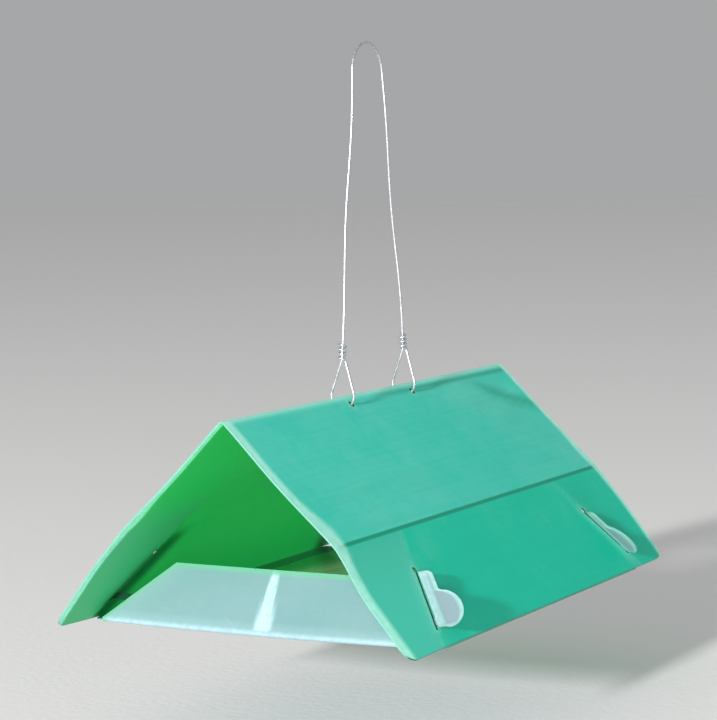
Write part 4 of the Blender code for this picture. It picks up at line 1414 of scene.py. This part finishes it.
def studio_floor(material):
    """A flat square under the trap."""
    height = CAD_BOX[0].z - FLOOR_GAP
    half = FLOOR_SPREAD / 2
    corners = [(-half, -half, height), (half, -half, height), (half, half, height),
               (-half, half, height)]
    mesh = bpy.data.meshes.new("studio_floor")
    mesh.from_pydata(corners, [], [(0, 1, 2, 3)])
    mesh.materials.append(material)
    made = bpy.data.objects.new("studio_floor", mesh)
    bpy.context.scene.collection.objects.link(made)


def aimed(made, place, target):
    """Puts a lamp or the camera at a place and turns it to face the target."""
    bpy.context.scene.collection.objects.link(made)
    made.location = place
    made.rotation_mode = "QUATERNION"
    made.rotation_quaternion = (Vector(target) - Vector(place)).to_track_quat("-Z", "Y")
    return made


def soft_lamp(name, way, size, power, colour):
    """A square lamp that stands off the trap's middle in a direction and faces it."""
    lamp = bpy.data.lights.new(name, "AREA")
    lamp.shape = "SQUARE"
    lamp.size = size
    lamp.energy = power
    lamp.color = colour
    middle = Vector((0.0, 0.0, JOINTS["hanger_swing"]["pos_m"][2] - LAMP_DROP))
    place = middle + Vector(way).normalized() * LAMP_DISTANCE
    made = aimed(bpy.data.objects.new(name, lamp), place, middle)
    made.visible_camera = False


def studio_lamps():
    """A low key from the front, a broader and weaker fill beside the camera, and an even sky."""
    soft_lamp("front_key", KEY_WAY, KEY_SIZE, KEY_POWER, KEY_COLOUR)
    soft_lamp("camera_fill", FILL_WAY, FILL_SIZE, FILL_POWER, FILL_COLOUR)
    world = bpy.data.worlds.new("studio_world")
    world.use_nodes = True
    sky = world.node_tree.nodes["Background"].inputs
    sky["Color"].default_value = SKY_COLOUR
    sky["Strength"].default_value = SKY_STRENGTH
    bpy.context.scene.world = world
    bpy.context.scene.view_settings.view_transform = "Standard"


CAMERA_PLACE = (0.578, -1.074, -0.041)
CAMERA_LENS = 127.5          # millimetres on a 36 mm sensor
CAMERA_TURN = math.radians(-28.62)
CAMERA_PITCH = math.radians(-5.14)
CAMERA_ROLL = math.radians(-1.26)


def studio_camera():
    """A long lens that looks down a little on the front right corner."""
    data = bpy.data.cameras.new("studio_camera")
    data.lens = CAMERA_LENS
    data.clip_end = 100.0
    way = Vector((math.sin(CAMERA_TURN) * math.cos(CAMERA_PITCH),
                  math.cos(CAMERA_TURN) * math.cos(CAMERA_PITCH), math.sin(CAMERA_PITCH)))
    place = Vector(CAMERA_PLACE)
    made = aimed(bpy.data.objects.new("studio_camera", data), place, place + way)
    roll = Matrix.Rotation(CAMERA_ROLL, 4, "Z").to_quaternion()
    made.rotation_quaternion = made.rotation_quaternion @ roll
    bpy.context.scene.camera = made


# ---- operators
class TRAP_OT_roof(bpy.types.Operator):
    """Folds the green roof sheet: two creased walls and the ridge."""
    bl_idname = "trap.roof"
    bl_label = "Roof Sheet"

    def execute(self, context):
        scene = context.scene
        roof = build_roof(scene.trap_sheets, scene.trap_ears,
                          [finish("roof_outside"), finish("roof_inside"), finish("cut_edge")])
        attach(roof, "trap")
        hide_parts("roof_left_upper", "roof_left_lower", "roof_right_upper",
                    "roof_right_lower", "left_wall_crease", "right_wall_crease", "ridge_fold")
        return {"FINISHED"}


class TRAP_OT_tray(bpy.types.Operator):
    """Folds the pale floor tray with its two lips."""
    bl_idname = "trap.tray"
    bl_label = "Floor Tray"

    def execute(self, context):
        scene = context.scene
        tray = build_tray(scene.trap_sheets, scene.trap_ears,
                          [finish("tray_sheet"), finish("tray_sheet"), finish("cut_edge")])
        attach(tray, "trap")
        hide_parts("floor_left", "floor_right", "floor_crease")
        for label in ENDS:
            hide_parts(*(f"{label}_lip_{part}" for part in
                                ("left", "right", "crease", "fold")))
        return {"FINISHED"}


class TRAP_OT_ears(bpy.types.Operator):
    """Makes the four locking ears that bend over outside the walls."""
    bl_idname = "trap.ears"
    bl_label = "Locking Ears"

    def execute(self, context):
        sheets, ears = context.scene.trap_sheets, context.scene.trap_ears
        for label in ENDS:
            for word in SIDES:
                name = f"{label}_{word}_ear"
                made = build_ear(sheets, ears, label, word, [
                    finish("tray_sheet"), finish("tray_sheet"), finish("cut_edge")])
                root, reach, chord = ear_axes(lip_layout(sheets, ENDS[label]), SIDES[word])
                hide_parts(name)
                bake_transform(made)
        return {"FINISHED"}


class TRAP_OT_glue(bpy.types.Operator):
    """Spreads the two glue coats on the floor."""
    bl_idname = "trap.glue"
    bl_label = "Glue Coats"

    def execute(self, context):
        scene = context.scene
        for word in SIDES:
            coat = build_glue(scene.trap_sheets, scene.trap_small_parts, word,
                              finish("tacky_glue"))
            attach(coat, "trap")
            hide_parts(f"glue_coat_{word}")
        return {"FINISHED"}


class TRAP_OT_lure(bpy.types.Operator):
    """Moulds the rubber lure that lies on the glue."""
    bl_idname = "trap.lure"
    bl_label = "Rubber Lure"

    def execute(self, context):
        scene = context.scene
        lure = build_lure(scene.trap_sheets, scene.trap_small_parts, finish("lure_rubber_skin"))
        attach(lure, "trap")
        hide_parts("rubber_lure")
        return {"FINISHED"}


class TRAP_OT_hanger(bpy.types.Operator):
    """Bends the wire hanger with its eyes and wound tails."""
    bl_idname = "trap.hanger"
    bl_label = "Wire Hanger"

    def execute(self, context):
        scene = context.scene
        wire = build_hanger(scene.trap_small_parts, scene.trap_sheets.hole_spacing,
                            finish("zinc_skin"))
        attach(wire, "hanger")
        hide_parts("wire_hanger")
        return {"FINISHED"}


class TRAP_OT_stage(bpy.types.Operator):
    """Sets the pale floor, the soft lamps and the camera."""
    bl_idname = "trap.stage"
    bl_label = "Studio"

    def execute(self, context):
        studio_floor(finish("studio_paper"))
        studio_lamps()
        studio_camera()
        return {"FINISHED"}


# ---- panel and registration
STEPS = (TRAP_OT_roof, TRAP_OT_tray, TRAP_OT_ears, TRAP_OT_glue, TRAP_OT_lure, TRAP_OT_hanger,
         TRAP_OT_stage)
SETTINGS = {"trap_sheets": TrapSheets, "trap_ears": TrapEars, "trap_small_parts": TrapSmallParts,
            "trap_colours": TrapColours}


class TRAP_PT_build(bpy.types.Panel):
    """Lists the settings and the steps that build the trap."""
    bl_idname = "TRAP_PT_build"
    bl_label = "Delta Trap"
    bl_space_type = "VIEW_3D"
    bl_region_type = "UI"
    bl_category = "Trap"

    def draw(self, context):
        for step in STEPS:
            self.layout.operator(step.bl_idname)
        for label in SETTINGS:
            group = getattr(context.scene, label)
            box = self.layout.box()
            for prop in group.bl_rna.properties:
                if not prop.is_readonly and prop.identifier != "name":
                    box.prop(group, prop.identifier)


def register():
    for kind in (*SETTINGS.values(), *STEPS, TRAP_PT_build):
        bpy.utils.register_class(kind)
    for label, kind in SETTINGS.items():
        setattr(bpy.types.Scene, label, PointerProperty(type=kind))


def unregister():
    for label in SETTINGS:
        delattr(bpy.types.Scene, label)
    for kind in (TRAP_PT_build, *reversed(STEPS), *reversed(list(SETTINGS.values()))):
        bpy.utils.unregister_class(kind)


def main():
    register()
    bpy.ops.trap.roof()
    bpy.ops.trap.tray()
    bpy.ops.trap.ears()
    bpy.ops.trap.glue()
    bpy.ops.trap.lure()
    bpy.ops.trap.hanger()
    bpy.ops.trap.stage()


if __name__ == "__main__":
    main()
